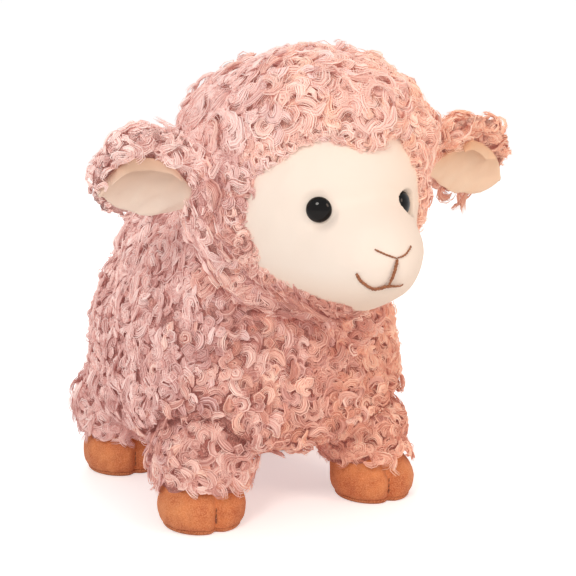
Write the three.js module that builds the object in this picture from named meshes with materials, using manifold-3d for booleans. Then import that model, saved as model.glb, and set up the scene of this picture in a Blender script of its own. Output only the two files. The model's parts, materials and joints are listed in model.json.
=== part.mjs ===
// A plush sheep that stands on four short legs: curly body and hood, smooth cream face, felted hooves.
// Millimetres, +Z up. The sheep faces -Y and its left side is +X. Its origin is on the floor,
// below the middle of the whole toy.
import * as THREE from "three";
import { mergeVertices } from "three/addons/utils/BufferGeometryUtils.js";
import Module from "manifold-3d";

const wasm = await Module();
wasm.setup();
const { degToRad, lerp, smoothstep } = THREE.MathUtils;

// Fabrics and clearances
const seamGap = 0.3;
const curlyWall = 10;
const hoodWall = 14;
const hoodEdgeWall = 8;
const hoodSwellShare = 1.5;
const faceWall = 3;
const hoofWall = 2.5;
const cutReach = 400;

// Body
const bodyWidth = 182;
const bodyLength = 190;
const bodyBottom = 40;
const bodyTop = 197;
const bodyTopSetBack = 6;
const bodySquareness = 3.2;
const bodyTopSquareness = 2.3;
const bodyLevelShares = [0, 0.025, 0.08, 0.17, 0.32, 0.48, 0.64, 0.765, 0.866, 0.94, 0.984];
const bodyWidthShares = [0.7, 0.88, 0.96, 1, 0.985, 0.945, 0.89, 0.81, 0.69, 0.52, 0.28];
const bodyLengthShares = [0.74, 0.92, 0.98, 1, 1, 0.97, 0.92, 0.85, 0.73, 0.55, 0.3];
const bellyWidth = 44;
const bellyLength = 132;
const clumpRise = 1.6;
const clumpStartShare = 0.1;

// Head, measured from the centre of the skull
const headForward = 93;
const headHeight = 205;
const skullWidth = 124;
const skullDepth = 132;
const skullTall = 132;
const muzzleForward = 35;
const muzzleDrop = 32.5;
const muzzleWidth = 77;
const muzzleDepth = 115;
const muzzleTall = 69;
const muzzleBlend = 6;
const faceWidth = 104;
const faceTall = 102;
const faceDrop = 24;
const faceSquareness = 2.6;
const faceOpeningBack = 13;
const ballRadius = 80;
const ballGap = 1.3;
const ballLimitShares = [0.35, 0.65];

// Neck stuffing, a plug between the body and the head
const neckInnerRadius = 60;
const neckGap = 0.5;
const neckSlope = degToRad(55);
const neckSpread = degToRad(20);
const neckOpeningSpread = degToRad(34);

// Eyes and embroidery
const eyeAside = 27;
const eyeDrop = 6;
const eyeDiameter = 14;
const eyeDome = 5;
const eyeRim = 1;
const eyeDent = 1;
const eyeStemDiameter = 5;
const eyeStemLength = 13;
const washerDiameter = 12;
const washerThickness = 1.6;
const washerDrop = 0.9;
const noseHalfWidth = 10.7;
const noseRise = 5;
const noseDrop = 29.2;
const mouthDrop = 45.5;
const smileHalfWidth = 19.5;
const smileRise = 7.5;
const smileSag = 1.2;
const noseThread = 1.2;
const smileThread = 1.7;
const threadLift = 0.1;

// Ears, measured from the seam line at the root
const earRootOut = 73;
const earRootRise = 9;
const earRootRadius = 7;
const earLength = 64;
const earWidth = 64;
const earBackWall = 12;
const earFrontWall = 3;
const earCup = 7;
const earTilt = degToRad(40);
const earStationShares = [0, 0.14, 0.3, 0.48, 0.66, 0.82, 0.93, 0.985];
const earWidthShares = [0.52, 0.68, 0.88, 1, 0.98, 0.82, 0.58, 0.3];
const earBackShares = [0.58, 0.75, 0.92, 1, 1, 0.9, 0.7, 0.4];
const earRootShares = [0.8, 0.6];
const earCupShares = [0, 0.35, 0.75, 1, 1, 0.85, 0.55, 0.3];
const liningWall = 3;
const liningRise = 1;
const liningBorder = 3.5;
const liningFold = 22;
const earSocketRadius = 11.6;
const earSocketGap = 0.6;
const liningStart = 3;
const liningEnd = 54;
const liningTaperShare = 0.92;

// Legs
const legSpacingWidth = 110;
const legSpacingLength = 123.5;
const legSetBack = 5;
const legDiameter = 63;
const legPivotHeight = 42;
const legHemHeight = 21;
const legHemDraw = 3;
const legSwellShare = 0.25;
const legWall = 9;
const legSocketGap = 1;

// Hooves
const hoofWidth = 52;
const hoofLength = 55;
const hoofForward = 7;
const hoofOutward = 4;
const hoofTop = 31;
const soleThickness = 3;
const soleDraw = 1.6;
const hoofNeckDraw = 3.8;
const hoofNeckLeanShare = 0.5;
const hemTuck = 1.5;
const cleftDepth = 5;
const cleftSpread = 0.2;
const cleftThread = 1.2;
const hoofBulgeShares = [0.29, 0.48];

// Tail
const tailRootHeight = 118;
const tailRootOut = 2;
const tailRootRadius = 10;
const tailSocketGap = 0.4;
const tailLength = 26;
const tailDrop = 12;
const tailWall = 4;
const tailStationShares = [0.15, 0.35, 0.6, 0.82, 0.95];
const tailRootShares = [0.85, 0.5];
const tailRadiusShares = [1.02, 1.08, 1.02, 0.75, 0.42];

// Facet counts
const bodySides = 28;
const headSides = 26;
const headRings = 14;
const neckSides = 48;
const neckRings = 24;
const innerSides = 14;
const innerRings = 8;
const legSides = 20;
const domeRings = 5;
const innerDomeRings = 3;
const smallSides = 12;
const socketSides = 24;
const socketRings = 12;
const threadSides = 5;
const noseSteps = 8;
const smileSteps = 10;
const lineSteps = 3;
const cleftSteps = 2;
const bisections = 40;

const skullCentre = new THREE.Vector3(0, -headForward, headHeight);
const alongY = new THREE.Vector3(0, 1, 0);
const turn = 2 * Math.PI;

// A closed geometry as a solid whose faces point out.
function solidFromParts(places, triangles) {
  const made = (order) =>
    new wasm.Manifold(new wasm.Mesh({ numProp: 3, vertProperties: places, triVerts: order }));
  const solid = made(triangles);
  return solid.volume() > 0 ? solid : made(triangles.slice().reverse());
}

function solidFromGeometry(geometry) {
  geometry.deleteAttribute("normal");
  geometry.deleteAttribute("uv");
  const merged = mergeVertices(geometry);
  return solidFromParts(merged.getAttribute("position").array, new Uint32Array(merged.index.array));
}

// Rings of points, joined one to the next and closed by a point at each end.
function loft(startPoint, rings, endPoint) {
  const sides = rings[0].length;
  const points = [startPoint, ...rings.flat(), endPoint];
  const triangles = [];
  const at = (ring, side) => 1 + ring * sides + (side % sides);
  for (let side = 0; side < sides; side += 1) {
    triangles.push(0, at(0, side + 1), at(0, side));
    for (let ring = 0; ring + 1 < rings.length; ring += 1) {
      triangles.push(at(ring, side), at(ring, side + 1), at(ring + 1, side));
      triangles.push(at(ring, side + 1), at(ring + 1, side + 1), at(ring + 1, side));
    }
    triangles.push(points.length - 1, at(rings.length - 1, side), at(rings.length - 1, side + 1));
  }
  const places = new Float32Array(points.flatMap((point) => point.toArray()));
  return solidFromParts(places, new Uint32Array(triangles));
}

function ringOf(sides, pointAt) {
  return Array.from({ length: sides }, (_, side) => pointAt((turn * side) / sides));
}

// A solid whose surface lies at radiusAt(direction) from its centre, with its poles along Y.
function starSolid(centre, radiusAt, sides, rings) {
  const surface = (direction) => direction.clone().multiplyScalar(radiusAt(direction)).add(centre);
  const circles = [];
  for (let ring = 1; ring < rings; ring += 1) {
    const polar = (Math.PI * ring) / rings;
    circles.push(
      ringOf(sides, (angle) =>
        surface(
          new THREE.Vector3(
            Math.sin(polar) * Math.cos(angle),
            -Math.cos(polar),
            Math.sin(polar) * Math.sin(angle),
          ),
        ),
      ),
    );
  }
  return loft(surface(alongY.clone().negate()), circles, surface(alongY));
}

const ball = (centre, radius, sides, rings) => starSolid(centre, () => radius, sides, rings);

// An upright elliptical block from one height to another.
function ellipseBlock(width, length, bottom, top, sides) {
  const half = new THREE.Vector3(width / 2, length / 2, 1);
  const ring = (z) => ringOf(sides, (a) => new THREE.Vector3(Math.cos(a), Math.sin(a), z).multiply(half));
  return loft(new THREE.Vector3(0, 0, bottom), [ring(bottom), ring(top)], new THREE.Vector3(0, 0, top));
}

// A round bar along a direction, from one distance to another.
function bar(start, direction, from, to, radius, endRadius = radius) {
  const facing = new THREE.Quaternion().setFromUnitVectors(new THREE.Vector3(0, 0, 1), direction);
  const place = (point) => point.applyQuaternion(facing).add(start);
  const rim = (z, r, a) => new THREE.Vector3(r * Math.cos(a), r * Math.sin(a), z);
  const ring = (z, r) => ringOf(smallSides, (a) => place(rim(z, r, a)));
  return loft(
    place(new THREE.Vector3(0, 0, from)),
    [ring(from, radius), ring(to, endRadius)],
    place(new THREE.Vector3(0, 0, to)),
  );
}

// Everything on one side of the seam along the toy's middle.
function sideOf(side) {
  const box = new THREE.BoxGeometry(cutReach, 2 * cutReach, 2 * cutReach);
  box.translate(side * (cutReach / 2 + seamGap / 2), 0, 0);
  return solidFromGeometry(box);
}

const sides = { left: 1, right: -1 };
const ends = { front: -1, rear: 1 };

// A cosine or sine drawn out towards the corners of a rounded square.
const squared = (value, squareness) => Math.sign(value) * Math.abs(value) ** (2 / squareness);

// Body form drawn in by an inset, with clumps of curls that swell and sink from one point to the next.
function bodyForm(inset, ringSides, clumps = 0) {
  const bottom = bodyBottom + inset;
  const height = bodyTop - inset - bottom;
  const halfWidth = bodyWidth / 2 - inset;
  const halfLength = bodyLength / 2 - inset;
  const squareness = (share) => lerp(bodySquareness, bodyTopSquareness, share);
  const setBack = (share) => bodyTopSetBack * share * share;
  const rings = bodyLevelShares.map((share, i) =>
    ringOf(ringSides, (angle) => {
      const wide = bodyWidthShares[i] * squared(Math.cos(angle), squareness(share));
      const long = bodyLengthShares[i] * squared(Math.sin(angle), squareness(share));
      const outward = new THREE.Vector3(wide / halfWidth, long / halfLength, (2 * share - 1) / height);
      const swell = clumps * smoothstep(share, 0, clumpStartShare) * (-1) ** i;
      return new THREE.Vector3(halfWidth * wide, halfLength * long + setBack(share), bottom + height * share)
        .addScaledVector(outward.normalize(), swell * Math.cos((ringSides / 2) * angle));
    }),
  );
  return loft(
    new THREE.Vector3(0, 0, bottom),
    rings,
    new THREE.Vector3(0, bodyTopSetBack, bottom + height),
  );
}

// Distance from the skull's centre to its surface in a direction.
function skullReach(direction) {
  const scaled = new THREE.Vector3(
    direction.x / (skullWidth / 2),
    direction.y / (skullDepth / 2),
    direction.z / (skullTall / 2),
  );
  return 1 / scaled.length();
}

// Distance from the skull's centre to the far side of the muzzle, or zero where the ray misses it.
function muzzleReach(direction) {
  const halves = new THREE.Vector3(muzzleWidth / 2, muzzleDepth / 2, muzzleTall / 2);
  const ray = direction.clone().divide(halves);
  const offset = new THREE.Vector3(0, -muzzleForward, -muzzleDrop).divide(halves);
  const along = ray.dot(offset);
  const inside = along * along - ray.lengthSq() * (offset.lengthSq() - 1);
  return inside > 0 ? Math.max(0, (along + Math.sqrt(inside)) / ray.lengthSq()) : 0;
}

// Skull and muzzle with a soft blend between them.
function faceReach(direction) {
  const skull = skullReach(direction);
  const muzzle = muzzleReach(direction);
  const top = Math.max(skull, muzzle);
  const blend = Math.exp((skull - top) / muzzleBlend) + Math.exp((muzzle - top) / muzzleBlend);
  return top + muzzleBlend * Math.log(blend);
}

// The curly hood stands higher away from the face. Below, it stays within the ball that nods in the body.
function hoodReach(direction) {
  const face = faceReach(direction);
  const across = Math.abs((direction.x * face) / (faceWidth / 2));
  const up = Math.abs((direction.z * face + faceDrop) / (faceTall / 2));
  const away = (across ** faceSquareness + up ** faceSquareness) ** (1 / faceSquareness);
  const beyond = direction.y < 0 ? smoothstep(away, 1, hoodSwellShare) : 1;
  const wall = lerp(hoodEdgeWall, hoodWall, beyond);
  const aheadShare = smoothstep(-direction.y, ...ballLimitShares);
  const limit = lerp(ballRadius, 2 * ballRadius, aheadShare);
  return Math.min(face + wall, limit);
}

// The place on the face at a distance aside and below the skull's centre, lifted off the surface.
function onFace(aside, drop, lift) {
  let near = 0;
  let far = skullDepth + muzzleDepth;
  for (let step = 0; step < bisections; step += 1) {
    const middle = (near + far) / 2;
    const point = new THREE.Vector3(aside, -middle, -drop);
    if (point.length() < faceReach(point.clone().normalize())) near = middle;
    else far = middle;
  }
  const place = new THREE.Vector3(aside, -near, -drop);
  return place.setLength(place.length() + lift).add(skullCentre);
}

// A thread of a thickness along a path.
function threadAlong(path, thread, steps) {
  const half = thread / 2;
  const section = ringOf(threadSides, (a) => new THREE.Vector2(half * Math.cos(a), half * Math.sin(a)));
  const options = { steps, extrudePath: path, bevelEnabled: false };
  return solidFromGeometry(new THREE.ExtrudeGeometry(new THREE.Shape(section), options));
}

// Thread laid on the face through places given as [aside, drop].
function stroke(places, thread, steps) {
  const lift = threadLift + thread / 2;
  const path = new THREE.CatmullRomCurve3(places.map(([aside, drop]) => onFace(aside, drop, lift)));
  return threadAlong(path, thread, steps);
}

// Five places of a line that is the same on both sides of the face.
function mirrored(outer, between, middle) {
  const across = ([aside, drop]) => [-aside, drop];
  return [across(outer), across(between), middle, between, outer];
}

// The nose is a shallow V.
function noseStitches() {
  const corner = [noseHalfWidth, noseDrop - noseRise];
  const between = [noseHalfWidth / 2, noseDrop - noseRise / 2];
  return stroke(mirrored(corner, between, [0, noseDrop]), noseThread, noseSteps);
}

// The mouth is a smile that hangs from a line below the nose.
function mouthStitches() {
  const corner = [smileHalfWidth, mouthDrop - smileRise];
  const between = [smileHalfWidth / 2, mouthDrop + smileSag];
  const smile = stroke(mirrored(corner, between, [0, mouthDrop]), smileThread, smileSteps);
  const top = noseDrop + noseThread / 2 + seamGap;
  const drops = Array.from({ length: lineSteps + 1 }, (_, i) => lerp(top, mouthDrop, i / lineSteps));
  return smile.add(stroke(drops.map((drop) => [0, drop]), smileThread, lineSteps));
}

// The face panel's outline as a block that runs forward from the skull's centre.
function faceBlock(grow) {
  const ring = (y) =>
    ringOf(
      headSides,
      (a) =>
        new THREE.Vector3(
          (faceWidth / 2 + grow) * squared(Math.cos(a), faceSquareness),
          y,
          headHeight - faceDrop + (faceTall / 2 + grow) * squared(Math.sin(a), faceSquareness),
        ),
    );
  const centre = (y) => new THREE.Vector3(0, y, headHeight - faceDrop);
  const back = -headForward - faceOpeningBack;
  return loft(centre(-cutReach), [ring(-cutReach), ring(back)], centre(back));
}

const neckAxis = new THREE.Vector3(0, Math.cos(neckSlope), -Math.sin(neckSlope));

// A cone from the skull's centre along the neck.
function neckCone(spread) {
  const reach = 2 * ballRadius;
  return bar(skullCentre, neckAxis, 0, reach, seamGap, reach * Math.tan(spread));
}

const headBall = (radius) => ball(skullCentre, radius, headSides, headRings);
const neckBall = (radius) => ball(skullCentre, radius, neckSides, neckRings);

// Where an eye sits: the middle of its rim, sunk into the face, and the way that the face looks there.
function eyePlace(side) {
  const step = eyeDiameter / 4;
  const middle = onFace(side * eyeAside, eyeDrop, 0);
  const inward = onFace(side * (eyeAside - step), eyeDrop, 0).sub(middle);
  const upward = onFace(side * eyeAside, eyeDrop - step, 0).sub(middle);
  const axis = upward.cross(inward).multiplyScalar(side).normalize();
  return { axis, seat: middle.addScaledVector(axis, -eyeDent) };
}

function eye(side) {
  const { axis, seat } = eyePlace(side);
  const half = eyeDiameter / 2;
  const stem = eyeStemDiameter / 2;
  const profile = [new THREE.Vector2(0, -eyeStemLength), new THREE.Vector2(stem, -eyeStemLength)];
  profile.push(new THREE.Vector2(stem, 0), new THREE.Vector2(half, 0));
  for (let ring = 0; ring < domeRings; ring += 1) {
    const angle = (Math.PI / 2) * (ring / domeRings);
    const height = lerp(eyeRim, eyeDome, Math.sin(angle));
    profile.push(new THREE.Vector2(half * Math.cos(angle), height));
  }
  profile.push(new THREE.Vector2(0, eyeDome));
  const turned = new THREE.LatheGeometry(profile, smallSides);
  turned.translate(0, seamGap, 0);
  turned.applyQuaternion(new THREE.Quaternion().setFromUnitVectors(alongY, axis));
  turned.translate(seat.x, seat.y, seat.z);
  return solidFromGeometry(turned);
}

// A bar along an eye's axis, with clearance round a piece of a diameter.
function eyeBar(side, from, to, diameter) {
  const { axis, seat } = eyePlace(side);
  return bar(seat, axis, from, to, diameter / 2 + seamGap);
}

const washerFront = eyeDent - faceWall - washerDrop;

function eyeWasher(side) {
  const { axis, seat } = eyePlace(side);
  const disc = bar(seat, axis, washerFront - washerThickness, washerFront, washerDiameter / 2);
  return disc.subtract(eyeBar(side, -eyeStemLength, 0, eyeStemDiameter));
}

// The skull's form drawn in from the face by a wall, for the linings and the stuffing.
const skullForm = (wall) => starSolid(skullCentre, (d) => faceReach(d) - wall, innerSides, innerRings);
const faceForm = starSolid(skullCentre, faceReach, headSides, headRings);

function facePanel() {
  let panel = faceForm.subtract(skullForm(faceWall)).intersect(faceBlock(-seamGap));
  for (const side of Object.values(sides)) {
    panel = panel.subtract(eyeBar(side, 0, eyeDome, eyeDiameter));
    panel = panel.subtract(eyeBar(side, -eyeStemLength, eyeDome, eyeStemDiameter));
    panel = panel.subtract(eyeBar(side, -eyeStemLength, washerFront + seamGap, washerDiameter));
  }
  return panel;
}

function headStuffing() {
  let stuffing = skullForm(faceWall + seamGap);
  const inner = neckBall(neckInnerRadius - neckGap);
  stuffing = stuffing.subtract(neckCone(neckOpeningSpread).subtract(inner));
  for (const side of Object.values(sides)) {
    const washerBack = washerFront - washerThickness - seamGap;
    stuffing = stuffing.subtract(eyeBar(side, washerBack, eyeDome, washerDiameter));
    stuffing = stuffing.subtract(eyeBar(side, -seamGap, eyeDome, eyeDiameter));
    stuffing = stuffing.subtract(eyeBar(side, -eyeStemLength, eyeDome, eyeStemDiameter));
  }
  return stuffing;
}

// The frame of an ear: out along its length, down across its width, back through its thickness.
function earPlace(side, out, across, back) {
  const down = new THREE.Vector3(0, Math.sin(earTilt), -Math.cos(earTilt));
  const behind = new THREE.Vector3(0, Math.cos(earTilt), Math.sin(earTilt));
  return new THREE.Vector3(side * (earRootOut + out), 0, earRootRise)
    .addScaledVector(down, across)
    .addScaledVector(behind, back)
    .add(skullCentre);
}

// One ring of a cupped leaf, at a distance out from the root.
function leafRing(side, out, halfWidth, cup, behind, ahead) {
  return ringOf(smallSides, (angle) => {
    const rise = Math.sin(angle);
    const wall = rise > 0 ? behind * rise : ahead * rise;
    return earPlace(side, out, halfWidth * Math.cos(angle), cup * rise * rise + wall);
  });
}

// A value from a list of shares at a distance out along the ear.
function shareAt(shares, out) {
  const share = out / earLength;
  const after = Math.max(1, earStationShares.findIndex((station) => station >= share));
  const [low, high] = [earStationShares[after - 1], earStationShares[after]];
  return lerp(shares[after - 1], shares[after], (share - low) / (high - low));
}

const earHalfWidth = (out) => (earWidth / 2) * shareAt(earWidthShares, out);

function earBack(side) {
  const [depthShare, sizeShare] = earRootShares;
  const root = earRootRadius * sizeShare;
  const rings = [leafRing(side, -earRootRadius * depthShare, earHalfWidth(0) * sizeShare, 0, root, root)];
  for (const share of earStationShares) {
    const out = earLength * share;
    const ahead = share === 0 ? earRootRadius : earFrontWall;
    const behind = share === 0 ? earRootRadius : earBackWall * shareAt(earBackShares, out);
    const cup = earCup * shareAt(earCupShares, out);
    rings.push(leafRing(side, out, earHalfWidth(out), cup, behind, ahead));
  }
  return loft(earPlace(side, -earRootRadius, 0, 0), rings, earPlace(side, earLength, 0, 0));
}

function earLining(side) {
  const rings = [];
  const count = earStationShares.length - 1;
  for (let step = 0; step <= count; step += 1) {
    const out = lerp(liningStart, liningEnd, step / count);
    const whole = earHalfWidth(out);
    const taper = Math.sqrt(1 - (liningTaperShare * ((2 * step) / count - 1)) ** 2);
    const half = (whole - (liningBorder + liningFold) / 2) * taper;
    const shift = (liningFold - liningBorder) / 2;
    rings.push(
      ringOf(smallSides, (angle) => {
        const across = half * Math.cos(angle) + shift;
        const rise = Math.sqrt(1 - (across / whole) ** 2);
        const front = earCup * shareAt(earCupShares, out) * rise * rise - earFrontWall * rise;
        const wall = Math.sin(angle) > 0 ? liningRise * Math.sin(angle) : liningWall * Math.sin(angle);
        return earPlace(side, out, across, front + wall);
      }),
    );
  }
  const centre = (ring) => ring[0].clone().lerp(ring[smallSides / 2], 1 / 2);
  const slab = loft(centre(rings[0]), rings, centre(rings[count]));
  const ahead = earPlace(side, 0, 0, -2 * seamGap).sub(earPlace(side, 0, 0, 0));
  return slab.subtract(earBack(side).translate(ahead.toArray()));
}

function hood() {
  const outer = starSolid(skullCentre, hoodReach, headSides, headRings);
  let shell = outer.subtract(skullForm(faceWall));
  shell = shell.subtract(faceBlock(0)).subtract(neckCone(neckOpeningSpread));
  for (const side of Object.values(sides)) {
    const offset = earSocketRadius - earRootRadius - earSocketGap;
    const place = earPlace(side, offset, 0, 0);
    const reach = earHalfWidth(0) + earSocketGap;
    const down = earPlace(side, offset, reach, 0).sub(place).normalize();
    shell = shell.subtract(bar(place, down, -reach, reach, earSocketRadius));
  }
  return shell;
}

function neckStuffing() {
  const lens = neckBall(ballRadius).subtract(neckBall(neckInnerRadius));
  return lens.intersect(neckCone(neckSpread));
}

const legCentre = (side, end, z) =>
  new THREE.Vector3((side * legSpacingWidth) / 2, (end * legSpacingLength) / 2 + legSetBack, z);

const legSocket = (side, end) =>
  ball(legCentre(side, end, legPivotHeight), legDiameter / 2 + legSocketGap, legSides, 2 * domeRings);

const tailPlace = () => new THREE.Vector3(0, bodyLength / 2 + tailRootOut, tailRootHeight);

// Cuts from a body piece the room for the legs, the head and the tail.
function withSockets(piece) {
  let cut = piece.subtract(headBall(ballRadius + ballGap));
  for (const side of Object.values(sides)) {
    for (const end of Object.values(ends)) cut = cut.subtract(legSocket(side, end));
  }
  return cut.subtract(ball(tailPlace(), tailRootRadius + tailSocketGap, socketSides, socketRings));
}

function bellyBlock(grow) {
  const top = bodyBottom + curlyWall + seamGap;
  return ellipseBlock(bellyWidth + 2 * grow, bellyLength + 2 * grow, 0, top, bodySides);
}

const bodyShell = bodyForm(0, bodySides, clumpRise).subtract(bodyForm(curlyWall, innerSides));
const bodyCover = withSockets(bodyShell.subtract(bellyBlock(0)));
const bellyPanel = withSockets(bodyShell.intersect(bellyBlock(-seamGap)));

// The body's stuffing rises to a smoother seat under the neck's.
function bodyStuffing() {
  const form = bodyForm(curlyWall + 2 * seamGap, innerSides);
  const seat = form.intersect(neckCone(neckSpread)).intersect(headBall(ballRadius + curlyWall));
  return withSockets(form).add(seat.subtract(neckBall(ballRadius + neckGap)));
}

// A turned solid whose profile is given as [radius, height].
function turnedSolid(profile, centre, ringSides) {
  const lathe = new THREE.LatheGeometry(
    profile.map(([radius, height]) => new THREE.Vector2(radius, height)),
    ringSides,
  );
  lathe.rotateX(Math.PI / 2);
  lathe.translate(centre.x, centre.y, 0);
  return solidFromGeometry(lathe);
}

// Points on the leg's round top, from its crown down to its side.
function domePoints(radius, rings) {
  const points = [];
  for (let ring = 0; ring < rings; ring += 1) {
    const angle = (Math.PI / 2) * (ring / rings);
    points.push([radius * Math.sin(angle), legPivotHeight + radius * Math.cos(angle)]);
  }
  return points;
}

function legCover(side, end) {
  const radius = legDiameter / 2;
  const inner = radius - legWall;
  const swell = (legPivotHeight + legHemHeight) / 2;
  const outline = [
    ...domePoints(radius, domeRings),
    [radius, legPivotHeight],
    [radius - legHemDraw * legSwellShare, swell],
    [radius - legHemDraw, legHemHeight],
    [inner, legHemHeight],
    [inner, legPivotHeight],
    ...domePoints(inner, innerDomeRings).reverse(),
  ];
  const cover = turnedSolid(outline, legCentre(side, end, 0), legSides);
  return cover.subtract(hoofForm(side, end, -2 * seamGap, seamGap));
}

// Outline of a hoof at one height: a rounded foot with a cleft at its toe.
function hoofRing(side, end, z, inset, lean) {
  const centre = legCentre(side, end, z);
  centre.x += side * hoofOutward * lean;
  centre.y -= hoofForward * lean;
  return ringOf(legSides, (angle) => {
    const fromToe = Math.atan2(Math.cos(angle), -Math.sin(angle));
    const cleft = cleftDepth * Math.exp(-((fromToe / cleftSpread) ** 2));
    const drawn = 1 - cleft / (hoofLength / 2);
    const wide = (hoofWidth / 2 - inset) * drawn;
    const long = (hoofLength / 2 - inset) * drawn;
    return new THREE.Vector3(wide * Math.cos(angle), long * Math.sin(angle), 0).add(centre);
  });
}

// Heights of the hoof's rings, how far each is drawn in, and how much of the toe's lean it has.
const hoofLevels = [
  { z: soleThickness + seamGap, draw: soleDraw / 2, lean: 1 },
  { z: hoofTop * hoofBulgeShares[0], draw: 0, lean: 1 },
  { z: hoofTop * hoofBulgeShares[1], draw: soleDraw / 2, lean: 1 },
  { z: legHemHeight - hemTuck, draw: hoofNeckDraw, lean: hoofNeckLeanShare },
  { z: hoofTop, draw: hoofNeckDraw, lean: 0 },
];

function hoofForm(side, end, inset, overrun) {
  const levels = hoofLevels.map(({ z, draw, lean }) => ({ z, draw: draw + inset, lean }));
  const [low, high] = [levels[0], levels[levels.length - 1]];
  if (overrun > 0) {
    levels.unshift({ ...low, z: low.z - overrun });
    levels.push({ ...high, z: high.z + overrun });
  }
  const rings = levels.map(({ z, draw, lean }) => hoofRing(side, end, z, draw, lean));
  return loft(legCentre(side, end, low.z - overrun), rings, legCentre(side, end, high.z + overrun));
}

function hoofCover(side, end) {
  return hoofForm(side, end, 0, 0).subtract(hoofForm(side, end, hoofWall, hoofWall));
}

function hoofSole(side, end) {
  const rings = [
    hoofRing(side, end, 0, 2 * soleDraw, 1),
    hoofRing(side, end, soleThickness / 2, soleDraw, 1),
    hoofRing(side, end, soleThickness, soleDraw, 1),
  ];
  return loft(legCentre(side, end, 0), rings, legCentre(side, end, soleThickness));
}

function legStuffing(side, end) {
  const radius = legDiameter / 2 - legWall - seamGap;
  const neck = radius - hoofNeckDraw - hoofWall;
  const shoulder = hoofTop + seamGap;
  const outline = [
    ...domePoints(radius, innerDomeRings),
    [radius, legPivotHeight],
    [radius, shoulder],
    [neck, shoulder],
    [neck, legHemHeight],
    [0, legHemHeight],
  ];
  const column = turnedSolid(outline, legCentre(side, end, 0), legSides);
  return column.add(hoofForm(side, end, hoofWall + seamGap, 0));
}

// Stitches that draw in the cleft at the toe.
function cleftStitch(side, end) {
  const centre = legCentre(side, end, 0);
  const reach = hoofLength / 2 - cleftDepth + 2 * seamGap + cleftThread / 2;
  const at = (draw, z) =>
    new THREE.Vector3(centre.x + side * hoofOutward, centre.y - hoofForward - reach + draw, z);
  const [, fullest, upper] = hoofLevels;
  const path = new THREE.LineCurve3(at(fullest.draw, fullest.z), at(upper.draw, upper.z));
  return threadAlong(path, cleftThread, cleftSteps);
}

// A drop that hangs back and down from the rump.
function tailForm(inset) {
  const root = tailPlace();
  const [rootWidth, rootDepth] = tailRootShares.map((share) => (tailRootRadius - inset) * share);
  const place = (share, r, angle) =>
    new THREE.Vector3(
      r * Math.cos(angle),
      tailLength * share,
      r * Math.sin(angle) - tailDrop * share * share,
    ).add(root);
  const rootRing = ringOf(smallSides, (a) =>
    new THREE.Vector3(rootWidth * Math.cos(a), -rootDepth, rootWidth * Math.sin(a)).add(root),
  );
  const rings = tailStationShares.map((share, i) =>
    ringOf(smallSides, (a) => place(share, tailRootRadius * tailRadiusShares[i] - inset, a)),
  );
  return loft(
    new THREE.Vector3(0, inset - tailRootRadius, 0).add(root),
    [rootRing, ...rings],
    place(1 - inset / tailLength, 0, 0),
  );
}

function tailCover() {
  const opening = bar(tailPlace(), alongY.clone().negate(), 0, cutReach, tailRootRadius / 2);
  return tailForm(0).subtract(tailForm(tailWall)).subtract(opening);
}

// Materials
const cloth = (colour, roughness) =>
  new THREE.MeshStandardMaterial({ color: colour, roughness, metalness: 0 });
const curlyPink = () => cloth(0xd99a96, 0.95);
const creamPlush = () => cloth(0xf6e4d0, 0.9);
const tanPlush = () => cloth(0xc8743a, 0.9);
const fibre = () => cloth(0xf4f2ee, 1);
const brownThread = () => cloth(0x7d4a2a, 0.6);
const blackPlastic = () => cloth(0x0d0b0b, 0.08);
const clearPlastic = () => cloth(0xe4e4e0, 0.4);

function mesh(name, solid, material) {
  const { vertProperties, triVerts } = solid.getMesh();
  const geometry = new THREE.BufferGeometry();
  geometry.setAttribute("position", new THREE.BufferAttribute(vertProperties, 3));
  geometry.setIndex(new THREE.BufferAttribute(triVerts, 1));
  geometry.computeVertexNormals();
  const made = new THREE.Mesh(geometry, material);
  made.name = name;
  return made;
}

function bodyGroup() {
  const group = new THREE.Group();
  for (const [name, side] of Object.entries(sides)) {
    group.add(mesh(`body_${name}_panel`, bodyCover.intersect(sideOf(side)), curlyPink()));
  }
  group.add(mesh("belly_panel", bellyPanel, curlyPink()));
  group.add(mesh("body_stuffing", bodyStuffing(), fibre()));
  return group;
}

function headGroup() {
  const group = new THREE.Group();
  const shell = hood();
  for (const [name, side] of Object.entries(sides)) {
    group.add(mesh(`head_${name}_panel`, shell.intersect(sideOf(side)), curlyPink()));
    group.add(mesh(`eye_${name}`, eye(side), blackPlastic()));
    group.add(mesh(`eye_washer_${name}`, eyeWasher(side), clearPlastic()));
  }
  group.add(mesh("face_panel", facePanel(), creamPlush()));
  group.add(mesh("head_stuffing", headStuffing(), fibre()));
  group.add(mesh("nose_embroidery", noseStitches(), brownThread()));
  group.add(mesh("mouth_embroidery", mouthStitches(), brownThread()));
  return group;
}

function earGroup(name, side) {
  const group = new THREE.Group();
  group.add(mesh(`ear_${name}_back`, earBack(side), curlyPink()));
  group.add(mesh(`ear_${name}_lining`, earLining(side), creamPlush()));
  return group;
}

function legGroup(endName, end, sideName, side) {
  const group = new THREE.Group();
  const name = (piece) => `${endName}_${sideName}_${piece}`;
  group.add(mesh(name("leg_cover"), legCover(side, end), curlyPink()));
  group.add(mesh(name("leg_stuffing"), legStuffing(side, end), fibre()));
  group.add(mesh(name("hoof_cover"), hoofCover(side, end), tanPlush()));
  group.add(mesh(name("hoof_sole"), hoofSole(side, end), tanPlush()));
  group.add(mesh(name("hoof_cleft_stitch"), cleftStitch(side, end), brownThread()));
  return group;
}

function tailGroup() {
  const group = new THREE.Group();
  group.add(mesh("tail_cover", tailCover(), curlyPink()));
  group.add(mesh("tail_stuffing", tailForm(tailWall + 2 * seamGap), fibre()));
  return group;
}

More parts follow.
